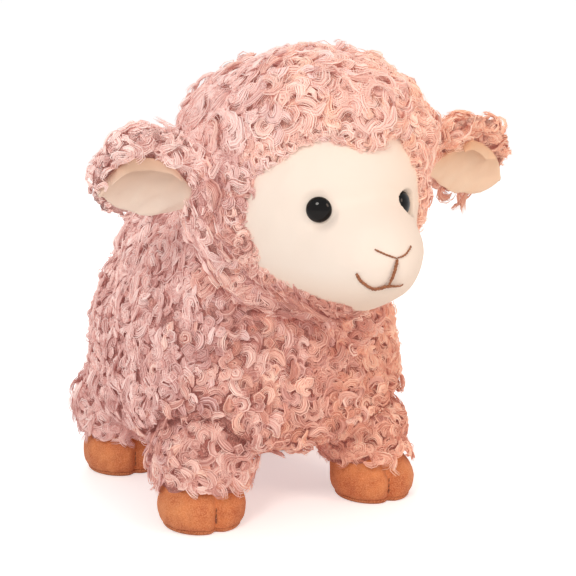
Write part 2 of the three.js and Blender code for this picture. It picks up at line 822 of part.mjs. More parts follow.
const sheep = new THREE.Group();
sheep.add(bodyGroup(), headGroup(), tailGroup());
sheep.add(mesh("neck_stuffing", neckStuffing(), fibre()));
for (const [name, side] of Object.entries(sides)) sheep.add(earGroup(name, side));
for (const [endName, end] of Object.entries(ends)) {
  for (const [sideName, side] of Object.entries(sides)) sheep.add(legGroup(endName, end, sideName, side));
}
const extent = new THREE.Box3().setFromObject(sheep);
sheep.position.y = -(extent.min.y + extent.max.y) / 2;

export default sheep;
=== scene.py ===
import json
import math
from itertools import product

import bpy
import numpy as np
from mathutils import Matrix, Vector
from mathutils.bvhtree import BVHTree


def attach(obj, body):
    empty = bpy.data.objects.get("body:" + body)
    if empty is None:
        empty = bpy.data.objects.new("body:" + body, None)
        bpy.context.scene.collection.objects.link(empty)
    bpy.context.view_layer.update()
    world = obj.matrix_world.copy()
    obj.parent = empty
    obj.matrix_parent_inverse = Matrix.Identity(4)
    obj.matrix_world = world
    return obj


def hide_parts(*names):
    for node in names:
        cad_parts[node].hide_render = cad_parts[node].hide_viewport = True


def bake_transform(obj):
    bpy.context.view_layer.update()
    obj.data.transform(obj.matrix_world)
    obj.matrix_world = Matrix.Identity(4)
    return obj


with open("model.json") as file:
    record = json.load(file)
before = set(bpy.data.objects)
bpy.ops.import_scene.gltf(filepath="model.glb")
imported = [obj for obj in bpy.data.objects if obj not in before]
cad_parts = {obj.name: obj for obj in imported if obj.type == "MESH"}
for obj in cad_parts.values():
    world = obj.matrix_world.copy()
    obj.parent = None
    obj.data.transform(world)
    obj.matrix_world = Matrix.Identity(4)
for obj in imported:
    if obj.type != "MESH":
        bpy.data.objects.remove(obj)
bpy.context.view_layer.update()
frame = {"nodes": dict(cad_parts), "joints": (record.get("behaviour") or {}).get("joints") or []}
JOINTS = {joint["name"]: joint for joint in frame["joints"]}
SIDES = {"left": 1, "right": -1}
ENDS = {"front": -1, "rear": 1}
LEGS = [(end, side) for end in ENDS for side in SIDES]

# Camera: where it looks, and from where, in degrees and metres
CAMERA_TARGET = (0.0188, 0.0052, 0.1288)
CAMERA_AZIMUTH = -27.8
CAMERA_ELEVATION = 11.72
CAMERA_DISTANCE = 1.0
CAMERA_LENS = 100.2
CAMERA_SENSOR = 36

# Head, from the skull's centre
SKULL_SIZE = np.array([0.124, 0.132, 0.132])
MUZZLE_AT = np.array([0, -0.035, -0.0325])
MUZZLE_SIZE = np.array([0.077, 0.115, 0.069])
MUZZLE_BLEND = 0.006
FACE_CENTRE = np.array([-0.006, -0.016])
FACE_EDGE_MM = (
    (-54, -15), (-53.5, 0), (-50.5, 9.5), (-45, 16.5), (-38, 22), (-29.3, 28), (-19.7, 29.4), (-11, 26.5),
    (-3, 23.5), (4, 24.5), (12, 28), (20, 28.5), (27, 24.5), (31, 14), (36, 0), (39.5, -15), (42, -28),
    (39, -43), (30, -53), (15, -60), (0, -61.7), (-13.5, -56), (-31, -49.5), (-42, -40.5), (-49.4, -28),
)
HOOD_WALL = 0.014
HOOD_EDGE_WALL = 0.008
HOOD_SWELL_SHARE = 1.5
BALL_RADIUS = 0.080
BALL_LIMIT_SHARES = (0.35, 0.65)
HOOD_SLIMMING = 0.0095
HOOD_TOP_DROP = 0.003
NEAR_SWELL = 0.0075
NEAR_SWELL_ANGLE = 0.42
# NEAR_CHEEK is the middle of the painted shade in the hollow below the near ear.
NEAR_CHEEK = np.array([-0.067, -0.025, -0.012])
HOOD_UNDER_FACE = 0.009
HOOD_OVER_FACE = 0.0008

# Eyes and embroidery
EYE_ASIDE = {"left": 0.0258, "right": 0.0285}
EYE_DROP = 0.006
EYE_RADIUS = 0.007
EYE_DOME = 0.005
EYE_RIM = 0.001
EYE_SINK = {"left": 0.0042, "right": 0.0013}
EYE_SEAT = {"left": 0.0079, "right": 0.0119}
NOSE_HALF_WIDTH = 0.0112
NOSE_RISE = 0.005
NOSE_DROP = 0.0292
MOUTH_DROP = 0.0445
LIP_ASIDE = -0.0032
SMILE_HALF_WIDTH = 0.0197
SMILE_FAR_WIDTH = 0.0068
SMILE_RISE = 0.0073
SMILE_SAG = 0.0013
NOSE_THREAD = 0.0011
SMILE_THREAD = 0.0018
STITCH_LENGTH = 0.0038
THREAD_LIFT = 0.12
THREAD_TWIST = 0.0016
FACE_DENTS = ((NOSE_DROP + 0.006, 0.0009, 0.006), (MOUTH_DROP, 0.0008, 0.006))  # drop, depth, width
EYE_STEM = [(0.0024, -0.0128), (0.0024, 0)]
EYE_WASHER = [
    (0.0028, -0.0057), (0.0056, -0.0057), (0.006, -0.0053),
    (0.006, -0.0045), (0.0056, -0.0041), (0.0028, -0.0041),
]

# Ears, from the hinge at the root
EAR_LENGTH = 0.064
EAR_WIDTH = 0.064
EAR_CUP = 0.007
EAR_FRONT_WALL = 0.003
EAR_TILT = math.radians(40)
EAR_DOWN = np.array([0, math.sin(EAR_TILT), -math.cos(EAR_TILT)])
EAR_BEHIND = np.array([0, math.cos(EAR_TILT), math.sin(EAR_TILT)])
EAR_STATIONS = (0, 0.14, 0.3, 0.48, 0.66, 0.82, 0.93, 0.985)
EAR_WIDTH_SHARES = (0.52, 0.68, 0.88, 1, 0.98, 0.82, 0.58, 0.3)
EAR_CUP_SHARES = (0, 0.35, 0.75, 1, 1, 0.85, 0.55, 0.3)
LINING_MM = {
    "right": (
        (-10, 0, 10, 19, 31, 42.5, 47, 51, 54, 56),
        (17, 9, -1, -10, -13.8, -15.3, -9.5, -1.5, 6, 10.2),
        (20, 25.4, 28.6, 29, 27.2, 22, 18, 14.3, 11.6, 10.4),
    ),
    "left": (
        (-10, 0, 11, 21, 30, 39, 48, 55, 60, 62.5, 63.5),
        (9.5, 4, -0.5, -6, -12.5, -9, -3, 2.5, 8.5, 14.5, 19),
        (11, 11.5, 13.5, 21.5, 28, 32, 33.3, 32, 28.5, 24.5, 20),
    ),
}
EAR_RISE = {"left": 0.003, "right": 0.0045}
EAR_DRAW = {"left": 0.0, "right": 0.004}
EAR_SAG = {"left": 0.0105, "right": 0.0}
LINING_PLUMP = 0.0014
LINING_RIM = 0.0012
LINING_LIFT = 0.0018
FOLD_MM = {"left": (25, 51), "right": (12, 51.5)}
FOLD_WIDTH = 0.0064
FOLD_LIFT = 0.005
TUFT_BACK = 0.004
TUFT_MM = (
    ((44, 25), (46, 34), (48, 42), (50, 49), (47, 54)),
    ((49, 25), (51, 35), (52, 44), (54, 52), (57, 58)),
    ((53, 24), (55, 32), (53, 40), (51, 46), (53, 52)),
    ((34, 22), (31, 32), (33, 40), (39, 42), (41, 38)),
)

# Hooves, from the leg's hinge
HOOF_WIDTH = 0.052
HOOF_LENGTH = 0.055
HOOF_FORWARD = 0.007
HOOF_OUTWARD = 0.004
HOOF_TOP = 0.031
HOOF_MIDDLE = 0.014
# Levels up a hoof: height, share of the full width, share of the lean outward, depth of the cleft in mm
HOOF_LEVELS = np.array([
    (0.0029, 0.885, 1, 5.6), (0.0038, 0.92, 1, 6.2), (0.0058, 0.962, 1, 6.8), (0.009, 0.99, 1, 7.2),
    (0.0125, 1.0, 1, 7.2), (0.0165, 0.985, 0.95, 6.4), (0.0205, 0.945, 0.75, 4.8), (0.0245, 0.9, 0.45, 3.0),
    (0.028, 0.87, 0.15, 1.6), (0.0308, 0.85, 0, 0.8),
])
SOLE_LEVELS = ((0.0, 0.82), (0.0005, 0.86), (0.0013, 0.885), (0.002, 0.888), (0.0026, 0.875), (0.0028, 0.84))
SOLE_CLEFT_MM = 5.2
CLEFT_STITCHES = 3
CLEFT_STITCH_LOW = 0.0072
CLEFT_STITCH_STEP = 0.0034
CLEFT_THREAD = 0.0004
CLEFT_THREAD_IN = 0.0071

# Soft forms under the wool: how far each kind lies inside the CAD's, and the size of its mesh's cells
WOOL_INSET = 0.0033
LOW_INSET = 0.0025
FLANK_SLIMMING = 0.006
CELLS = {"body": 0.003, "tail": 0.0015, "ear": 0.0016, "leg": 0.002, "neck": 0.002}
INSETS = {"body": WOOL_INSET, "tail": 0.0012, "ear": 0.0015, "leg": WOOL_INSET - 0.0015, "neck": 0.001}
RIPPLE_DEPTH = 0.0012
RIPPLE_LENGTH = 0.018

# Wool: how far apart its roots are, and where its pieces end
WOOL_SPACING = 0.0053
SPACING_SHARES = {"body": 1, "hood": 1.1, "fringe": 0.75, "leg": 0.95, "hem": 0.72, "ear": 0.9, "tail": 0.85}
SPACING = {name: WOOL_SPACING * share for name, share in SPACING_SHARES.items()}
LEG_WOOL_TOP = 0.072
HOOD_SHARE = 1.14
FRINGE_SHARES = (1.04, 1.18)
EAR_SOCKET = 0.017
FLOOR_CLEARANCE = 0.006
TAIL_ROOM = 0.0175
BODY_BAND_EDGES = (-0.036, 0.03)
BODY_HALF_HEIGHT = 0.105
HOOD_QUARTER = 0.012

# Wool's colours
# The hue goes from mauve to salmon toward the camera's right and lower down: painted warm light from the
# right and from below.
HUE_SHIFT = 0.060
HUE_SPAN = 0.15
HUE_BINS = 4
TONE_BINS = 6
MAP_SIDES = 16
# The wool and its backing glow a little in rose (emission): painted fill light that lifts the shade between
# the locks.
WOOL_SHADER = {
    "Roughness": 1.0, "Specular IOR Level": 0.05, "Emission Color": "#d98f86", "Emission Strength": 0.15
}

# Light
FLOOR_REACH = 12.0
FLOOR_GLOW = 0.42
WORLD_LIGHT = 0.62
LAMPS = {
    "key": ((-0.95, -0.95, 1.05), 0.45, 8.3, "#fffaf4"),
    "fill": ((0.58, -1.1, 0.75), 0.5, 4, "#ffe2cc"),
    "rim": ((0.2, 1.1, 0.9), 0.6, 4, "#ffffff"),
}

PLUSH_SWELL = 0.0003
MM = 0.001
WORLD_RIGHT = np.array([math.cos(math.radians(CAMERA_AZIMUTH)), math.sin(math.radians(CAMERA_AZIMUTH)), 0])
LEG_NAMES = [f"{end}_{side}_leg" for end, side in LEGS]


def pivot(joint):
    """Where a joint's axis is."""
    return np.array(JOINTS[joint]["pos_m"], float)


SKULL = pivot("head_nod")


def unit(vectors):
    return vectors / np.maximum(np.linalg.norm(vectors, axis=-1, keepdims=True), 1e-12)


def smooth(low, high, value):
    """From 0 at the low value to 1 at the high one, with soft ends."""
    t = np.clip((value - low) / (high - low), 0, 1)
    return t * t * (3 - 2 * t)


def linear(code):
    """A colour written as a web code, for a shader socket."""
    parts = [int(code[i : i + 2], 16) / 255 for i in (1, 3, 5)]
    return [p / 12.92 if p <= 0.04045 else ((p + 0.055) / 1.055) ** 2.4 for p in parts] + [1]


class Waves:
    """A smooth noise in space: sine waves of about one length in seeded directions."""

    def __init__(self, seed, length):
        count = 9
        rng = np.random.default_rng(seed)
        directions = unit(rng.normal(size=(count, 3)))
        self.k = directions * (2 * math.pi / length) * rng.uniform(0.7, 1.3, (count, 1))
        self.phase = rng.uniform(0, 2 * math.pi, count)

    def __call__(self, points):
        return np.tanh(np.sin(points @ self.k.T + self.phase).sum(axis=-1) / math.sqrt(len(self.k) / 2))


# Shader nodes


class Nodes:
    """A material's nodes, made one call at a time. Colours are given as web codes."""

    def __init__(self, name, shader):
        self.material = bpy.data.materials.new(name)
        self.material.use_nodes = True
        self.tree = self.material.node_tree
        self.shader = self.tree.nodes["Principled BSDF"]
        for key, value in shader.items():
            self.feed(self.shader, key, value)

    def feed(self, node, key, value):
        """Links an input to a socket, or sets it to a number or a colour."""
        if isinstance(value, bpy.types.NodeSocket):
            self.tree.links.new(value, node.inputs[key])
        else:
            node.inputs[key].default_value = linear(value) if isinstance(value, str) else value

    def add(self, kind, inputs=(), output=0, **settings):
        node = self.tree.nodes.new("ShaderNode" + kind)
        for key, value in settings.items():
            setattr(node, key, value)
        for key, value in dict(inputs).items():
            self.feed(node, key, value)
        return node.outputs[output]

    def math(self, operation, a, b=0.0, clamp=False):
        return self.add("Math", {0: a, 1: b}, operation=operation, use_clamp=clamp)

    def mix(self, factor, a, b):
        return self.add("Mix", {0: factor, 6: a, 7: b}, output=2, data_type="RGBA")

    def ramp(self, value, low, high, out_low=0.0, out_high=1.0):
        return self.add("MapRange", {0: value, 1: low, 2: high, 3: out_low, 4: out_high})

    def noise(self, vector, scale, detail=2.0, roughness=0.5):
        inputs = {"Vector": vector, "Scale": scale, "Detail": detail, "Roughness": roughness}
        return self.add("TexNoise", inputs)

    def place(self):
        """Coordinates that are fixed to the piece."""
        return self.add("TexCoord", output=3)

    def bump(self, height, strength, distance):
        normal = self.add("Bump", {"Height": height, "Strength": strength, "Distance": distance})
        self.feed(self.shader, "Normal", normal)

    def colour(self, socket):
        self.feed(self.shader, "Base Color", socket)
        return self.material


def wool_material():
    """Pink curls.

    The map's first number holds a lock's hue and tone and the way along it, the second the way round it. Hue
    and tone carry painted warm light, light and shade. The colour is also painted darker at the roots and in
    the flutes' valleys, and lighter on their ridges.
    """
    n = Nodes("wool", WOOL_SHADER)
    parts = n.add("SeparateXYZ", {0: n.add("UVMap", uv_map="OFBake")}).node
    round_way = parts.outputs[1]
    scaled = n.math("MULTIPLY", parts.outputs[0], HUE_BINS * TONE_BINS)
    kind = n.math("FLOOR", scaled)
    along = n.math("FRACT", scaled)
    hue = n.math("DIVIDE", n.math("FLOOR", n.math("DIVIDE", kind, TONE_BINS)), HUE_BINS - 1)
    tone = n.math("DIVIDE", n.math("MODULO", kind, TONE_BINS), TONE_BINS - 1)
    # The flutes' ridges are painted lighter and their valleys darker: painted light and shade.
    ridge = n.ramp(n.math("COSINE", n.math("MULTIPLY", round_way, math.pi * MAP_SIDES)), -1.0, 1.0)
    across = n.math("MULTIPLY", round_way, 17)
    spread = n.add("CombineXYZ", {0: across, 1: n.math("MULTIPLY", kind, 3.7), 2: along})
    streak = n.ramp(n.noise(spread, 1.0, 1.0), 0.3, 0.7)
    dark = n.mix(hue, "#a5665f", "#ad5f49")
    # Low tones darken toward dark rose, and the roots are deep rose: painted shade down in the wool.
    deep = n.mix(n.ramp(tone, 0.0, 0.15), dark, n.mix(hue, "#c08884", "#c77a62"))
    middle = n.mix(n.ramp(tone, 0.0, 0.15, 0.55, 1.0), dark, n.mix(hue, "#cfa09c", "#da957b"))
    pale = n.mix(hue, "#fdebe5", "#ffe1c9")
    light = n.math("ADD", n.math("MULTIPLY", streak, 0.15), n.math("MULTIPLY", tone, 0.85))
    light = n.math("ADD", light, n.math("MULTIPLY", ridge, 0.15))
    # Less pale near the roots: painted shade.
    light = n.math("MULTIPLY", light, n.ramp(along, 0.05, 0.5, 0.4, 1.0), clamp=True)
    body = n.mix(n.ramp(along, 0.0, 0.35), deep, middle)
    n.bump(streak, 0.4, 0.0005)
    return n.colour(n.mix(light, body, pale))


def backing_material():
    """The curly fabric's backing and its lowest curls, seen only between the locks, painted lighter high up,
    darker low down and warmer toward the right: painted light and shade.
    """
    n = Nodes("backing", WOOL_SHADER)
    place = n.place()
    # Warmer toward the camera's right and lower down: painted warm light.
    right = n.add("VectorMath", {0: place, 1: WORLD_RIGHT}, output=1, operation="DOT_PRODUCT")
    height = n.add("SeparateXYZ", {0: place}, output=2)
    low = n.ramp(height, 0.12, 0.0, 0.0, 0.042)
    hue = n.ramp(n.math("ADD", right, low), -0.065, 0.085)
    rings = {"Vector": place, "Scale": 170.0, "Distortion": 22.0, "Detail": 2.0, "Detail Scale": 1.3}
    curls = n.add("TexWave", rings, output=1, wave_type="RINGS")
    mottle = n.math("MULTIPLY", curls, n.ramp(n.noise(place, 170, 2.0), 0.3, 0.7, 0.3, 1.0))
    # Lighter high up and darker low down: painted top light and painted shade.
    high = n.ramp(height, 0.1, 0.22)
    deep = n.mix(high, n.mix(hue, "#b57872", "#a85943"), n.mix(hue, "#e4beb8", "#e9b39e"))
    light = n.mix(high, n.mix(hue, "#d9a9a2", "#d9967b"), n.mix(hue, "#f2d3cc", "#f5cbb4"))
    n.bump(curls, 0.9, 0.0012)
    return n.colour(n.mix(mottle, deep, light))


def face_material():
    n = Nodes("face_plush", {"Roughness": 0.85, "Sheen Weight": 0.25, "Sheen Tint": "#fff4e8"})
    place = n.place()
    parts = n.add("SeparateXYZ", {0: place}).node
    # Darker peach toward the chin: painted shade.
    low = n.ramp(parts.outputs[2], SKULL[2] - 0.038, SKULL[2] - 0.072)
    # Warmer toward the right: painted warm light.
    warm = n.ramp(parts.outputs[0], 0.0, 0.055)
    cream = n.mix(warm, "#f4e5d8", "#f8dfc9")
    colour = n.mix(low, cream, "#eccdb4")
    pile = n.noise(place, 1500, 3.0, 0.6)
    colour = n.mix(n.ramp(n.noise(place, 60, 2.0), 0.35, 0.7, 0.0, 0.12), colour, "#efdccb")
    n.bump(pile, 0.12, 0.0003)
    return n.colour(colour)


def lining_material():
    n = Nodes("ear_plush", {"Roughness": 0.85, "Sheen Weight": 0.25, "Sheen Tint": "#fff0e0"})
    place = n.place()
    parts = n.add("SeparateXYZ", {0: place}).node
    # Darker high up under the fold and paler lower down, with a cloudy edge: painted shade.
    root = pivot("ear_left_flap")[2]
    cloudy = n.math("MULTIPLY", n.noise(place, 45, 2.0), 0.012)
    height = n.math("ADD", parts.outputs[2], cloudy)
    painted_shade_and_mottle = n.ramp(height, root + 0.014, root - 0.012)
    # Warmer toward the right: painted warm light.
    warm = n.ramp(parts.outputs[0], -0.08, 0.08)
    pale = n.mix(warm, "#f1ddcd", "#f9dabd")
    shade = n.mix(warm, "#d8b49b", "#e2b591")
    n.bump(n.noise(place, 1400, 3.0, 0.6), 0.15, 0.0003)
    return n.colour(n.mix(painted_shade_and_mottle, shade, pale))


def hoof_material(name, light, dark):
    sheen = {"Sheen Weight": 0.35, "Sheen Tint": "#ffc49a", "Sheen Roughness": 0.4}
    n = Nodes(name, {"Roughness": 0.85, **sheen})
    place = n.place()
    painted_shade_and_mottle = n.ramp(n.noise(place, 70, 3.0, 0.6), 0.36, 0.64, 0.0, 0.65)
    height = n.add("SeparateXYZ", {0: place}, output=2)
    # Darker toward the bottom: painted shade, added to the pile's own random mottle.
    painted_shade_and_mottle = n.math("ADD", painted_shade_and_mottle, n.ramp(height, 0.026, 0.002, 0.0, 0.45), clamp=True)
    pile = n.noise(place, 1300, 3.0, 0.7)
    colour = n.mix(painted_shade_and_mottle, light, dark)
    colour = n.mix(n.ramp(pile, 0.4, 0.65, 0.0, 0.6), colour, "#f0a876")
    n.bump(pile, 0.5, 0.0006)
    return n.colour(colour)


def thread_material():
    n = Nodes("thread", {"Roughness": 0.55, "Sheen Weight": 0.15})
    place = n.place()
    twist = n.ramp(n.noise(place, 1100, 2.0), 0.35, 0.65)
    n.bump(twist, 0.3, 0.0002)
    return n.colour(n.mix(twist, "#7c4426", "#a8693f"))


def eye_material():
    n = Nodes("eye_plastic", {"Roughness": 0.06, "Specular IOR Level": 0.2})
    # Dark brown on the lower half and black above: painted reflection of the floor.
    height = n.add("SeparateXYZ", {0: n.place()}, output=2)
    low = n.ramp(height, SKULL[2] - 0.002, SKULL[2] - 0.013)
    return n.colour(n.mix(low, "#030202", "#140c0a"))


def filling_material(name, code):
    n = Nodes(name, {"Roughness": 0.9})
    fibres = n.ramp(n.noise(n.place(), 400, 4.0, 0.7), 0.3, 0.7)
    n.bump(fibres, 0.3, 0.0005)
    return n.colour(n.mix(fibres, code, "#ffffff"))


# Meshes


def new_object(name, data):
    made = bpy.data.objects.new(name, data)
    bpy.context.scene.collection.objects.link(made)
    return made


def mesh_object(name, vertices, faces, material, uv=None):
    """A mesh from lists of (count, corners) vertex numbers and of matching (count, corners, 2) maps."""
    mesh = bpy.data.meshes.new(name)
    corners = np.concatenate([f.ravel() for f in faces]).astype(np.int32)
    sizes = np.concatenate([np.full(len(f), f.shape[1]) for f in faces])
    starts = np.concatenate([[0], np.cumsum(sizes)[:-1]]).astype(np.int32)
    mesh.vertices.add(len(vertices))
    mesh.vertices.foreach_set("co", np.asarray(vertices, np.float32).ravel())
    mesh.loops.add(len(corners))
    mesh.loops.foreach_set("vertex_index", corners)
    mesh.polygons.add(len(sizes))
    mesh.polygons.foreach_set("loop_start", starts)
    mesh.polygons.foreach_set("use_smooth", np.ones(len(sizes), bool))
    if uv is not None:
        layer = mesh.uv_layers.new(name="OFBake")
        layer.data.foreach_set("uv", np.concatenate([u.ravel() for u in uv]).astype(np.float32))
    mesh.update(calc_edges=True)
    mesh.materials.append(material)
    return new_object(name, mesh)


def tubes(paths, side, up, half_side, half_up, section):
    """Vertices and faces of closed tubes with (..., sides, 2) sections along (count, steps, 3) paths."""
    count, steps, _ = paths.shape
    sides = section.shape[-2]
    rings = paths[:, :, None] + side[:, :, None] * (half_side[..., None] * section[..., 0])[..., None]
    rings = rings + up[:, :, None] * (half_up[..., None] * section[..., 1])[..., None]
    base = np.arange(count)[:, None, None] * (steps * sides)
    step = np.arange(steps - 1)[None, :, None] * sides
    turn = np.arange(sides)[None, None, :]
    a = base + step + turn
    b = base + step + (turn + 1) % sides
    quads = np.stack([a, b, b + sides, a + sides], axis=-1).reshape(-1, 4)
    start = base[:, 0] + np.arange(sides)[::-1]
    end = base[:, 0] + (steps - 1) * sides + np.arange(sides)
    return rings.reshape(-1, 3), [quads, np.concatenate([start, end])]


def joined(parts):
    """Vertices and faces of several (vertices, faces) pairs as one."""
    firsts = np.cumsum([0] + [len(vertices) for vertices, _ in parts])
    faces = [face + first for (_, faces), first in zip(parts, firsts) for face in faces]
    return np.concatenate([vertices for vertices, _ in parts]), faces


def tube_map(count, steps, sides, along, kind, turns=1.0):
    """The map that goes with tubes(): the way along from 0 to 1, each tube's kind and turns round it."""
    edge = 0.02
    u = (kind[:, None] + edge + along * (1 - 2 * edge)) / (HUE_BINS * TONE_BINS)
    shape = (count, steps - 1, sides)
    low = np.broadcast_to(u[:, :-1, None], shape)
    high = np.broadcast_to(u[:, 1:, None], shape)
    v0 = np.broadcast_to(np.arange(sides) / MAP_SIDES * turns, shape)
    v1 = v0 + turns / MAP_SIDES
    quads = np.stack([np.stack(pair, -1) for pair in ((low, v0), (low, v1), (high, v1), (high, v0))], axis=-2)
    caps = np.concatenate([u[:, 0], u[:, -1]])
    cap_map = np.stack([np.repeat(caps[:, None], sides, 1), np.zeros((2 * count, sides))], axis=-1)
    return [quads.reshape(-1, 4, 2), cap_map]


def frames_along(paths, hint):
    """Side and up directions along paths, with up as near as may be to a hint."""
    tangent = unit(np.gradient(paths, axis=1))
    side = unit(np.cross(hint, tangent) + 1e-6)
    return side, np.cross(tangent, side)


def angles(count):
    """Even steps round a circle."""
    return 2 * math.pi * np.arange(count) / count


def circle(sides):
    return np.stack([np.cos(angles(sides)), np.sin(angles(sides))], axis=1)


def grid_shell(points, ring=False):
    """Outward faces of a grid of points (rows, columns), closed round its columns.

    Its first and last row get caps, or meet each other in a ring.
    """
    rows, columns = points.shape[:2]
    row = np.arange(rows if ring else rows - 1)[:, None]
    turn = np.arange(columns)
    low, high = row * columns, (row + 1) % rows * columns
    after = (turn + 1) % columns
    quads = np.stack([low + turn, low + after, high + after, high + turn], axis=-1).reshape(-1, 4)
    last = (rows - 1) * columns + turn
    faces = [quads] if ring else [quads, turn[None, ::-1], last[None]]
    corners = (points.reshape(-1, 3) - points.reshape(-1, 3).mean(axis=0))[quads]
    normals = np.cross(corners[:, 2] - corners[:, 0], corners[:, 3] - corners[:, 1])
    if np.einsum("ij,ij->", corners.mean(axis=1), normals) < 0:
        faces = [face[:, ::-1] for face in faces]
    return faces


def shell(name, points, material, ring=False):
    """A closed piece from a grid of points."""
    return mesh_object(name, points.reshape(-1, 3), grid_shell(points, ring), material)


def core(name, nodes, kind, material, deeper=0, smoothing=8):
    """One soft closed form over some CAD nodes, drawn in by an inset so that the pile ends where they do."""
    vertices, faces, first = [], [], 0
    for node in nodes:
        data = frame["nodes"][node].data
        vertices += [v.co[:] for v in data.vertices]
        faces += [[first + i for i in p.vertices] for p in data.polygons]
        first = len(vertices)
    mesh = bpy.data.meshes.new(name)
    mesh.from_pydata(vertices, [], faces)
    made = new_object(name, mesh)
    remesh = made.modifiers.new("remesh", "REMESH")
    remesh.mode = "VOXEL"
    remesh.voxel_size = CELLS[kind]
    soften = made.modifiers.new("soften", "SMOOTH")
    soften.iterations = smoothing
    draw = made.modifiers.new("inset", "DISPLACE")
    draw.strength = -(INSETS[kind] + deeper)
    draw.mid_level = 0
    graph = bpy.context.evaluated_depsgraph_get()
    made.data = bpy.data.meshes.new_from_object(made.evaluated_get(graph))
    made.modifiers.clear()
    made.data.shade_smooth()
    made.data.materials.clear()
    made.data.materials.append(material)
    return made


def move_points(piece, moved):
    """Moves a piece's points to where a function of their places and normals puts them."""
    mesh = piece.data
    co = np.zeros(len(mesh.vertices) * 3, np.float32)
    normal = np.zeros_like(co)
    mesh.vertices.foreach_get("co", co)
    mesh.vertices.foreach_get("normal", normal)
    places = moved(co.reshape(-1, 3).astype(float), normal.reshape(-1, 3))
    mesh.vertices.foreach_set("co", places.astype(np.float32).ravel())
    mesh.update()


def ripple(piece, depth, length, seed):
    """Uneven swells on a piece's surface."""
    swell = Waves(seed, length)
    move_points(piece, lambda co, normal: co + normal * (depth * swell(co))[:, None])


def slim_back(piece):
    """Draws the flanks in a little above the rear legs."""

    def slimmed(co, _):
        rear = smooth(-0.06, 0.0, co[:, 1])
        share = smooth(0.03, 0.08, np.abs(co[:, 0])) * smooth(0.11, 0.15, co[:, 2]) * rear
        co[:, 0] -= np.sign(co[:, 0]) * FLANK_SLIMMING * share
        return co

    move_points(piece, slimmed)


def shape_ear(piece, name):
    """Draws an ear's tip in and its upper edge up, as the photographed ears hang."""
    side, root = SIDES[name], pivot(f"ear_{name}_flap")

    def shaped(co, _):
        out, across = (co - root)[:, 0] * side, (co - root) @ EAR_DOWN
        co[:, 0] -= side * EAR_DRAW[name] * smooth(0.03, EAR_LENGTH, out)
        rise = EAR_RISE[name] * smooth(0.0, -0.03, across) * smooth(0.0, 0.02, out)
        return co + EAR_DOWN * (ear_sag(name, out) - rise)[:, None]

    move_points(piece, shaped)


class Ground:
    """A surface that wool grows on."""

    def __init__(self, piece):
        mesh = piece.data
        mesh.calc_loop_triangles()
        self.co = np.array([v.co for v in mesh.vertices])
        self.normal = np.array([v.normal for v in mesh.vertices])
        self.tri = np.array([t.vertices[:] for t in mesh.loop_triangles])
        self.tree = BVHTree.FromPolygons(self.co.tolist(), self.tri.tolist())

    def scatter(self, spacing, rng):
        """Places about one spacing apart, and the surface's normals there."""
        a, b, c = (self.co[self.tri[:, i]] for i in range(3))
        area = np.linalg.norm(np.cross(b - a, c - a), axis=1) / 2
        tries = 14
        count = int(tries * area.sum() / spacing**2)
        pick = rng.choice(len(area), count, p=area / area.sum())
        u, v = rng.random((2, count))
        flip = u + v > 1
        u[flip], v[flip] = 1 - u[flip], 1 - v[flip]
        weights = np.stack([1 - u - v, u, v], axis=1)
        points = np.einsum("ij,ijk->ik", weights, self.co[self.tri[pick]])
        normals = unit(np.einsum("ij,ijk->ik", weights, self.normal[self.tri[pick]]))
        kept, cells, least = [], {}, spacing**2 * 0.72
        for i, key in enumerate(map(tuple, np.floor(points / spacing).astype(int))):
            near = [
                j
                for dx, dy, dz in product((-1, 0, 1), repeat=3)
                for j in cells.get((key[0] + dx, key[1] + dy, key[2] + dz), ())
            ]
            if all(np.sum((points[i] - points[j]) ** 2) > least for j in near):
                kept.append(i)
                cells.setdefault(key, []).append(i)
        return points[kept], normals[kept]

    def nearest(self, points):
        """The surface's nearest places and its normals there."""
        places, normals = np.zeros_like(points), np.zeros_like(points)
        for i, p in enumerate(points):
            place, normal, _, _ = self.tree.find_nearest(Vector(p))
            places[i], normals[i] = place, normal
        return places, normals

    def covers(self, points, normals, reach):
        """Which places look straight at this surface within a reach."""
        rays = zip(points, normals)
        return np.array([self.tree.ray_cast(Vector(p), Vector(n), reach)[0] is not None for p, n in rays])


# Wool


class Style:
    """How one region's locks curl.

    Lengths, radii, widths and heights are in millimetres, curls and waves are shares of the locks, droop is
    how far they hang, from 0 to 1, and lean is the most that one tips up, in radians.
    """

    def __init__(self, length, radius, width, height, strands, curls=0.6, waves=0.2, droop=0.0, lean=0.8):
        self.length, self.radius, self.width, self.height = length, radius, width, height
        self.strands, self.curls, self.waves, self.droop, self.lean = strands, curls, waves, droop, lean


STEPS = 11
STRAND_STEPS = 7
RIDGES = 3
ROOT_MM = -1.2
CLUMP_MM = 0.9
THINNING = 0.85
CLUMPS = Waves(11, 0.020)
SWIRL = Waves(12, 0.034)
HAND = Waves(13, 0.024)
PATCHES = Waves(14, 0.055)


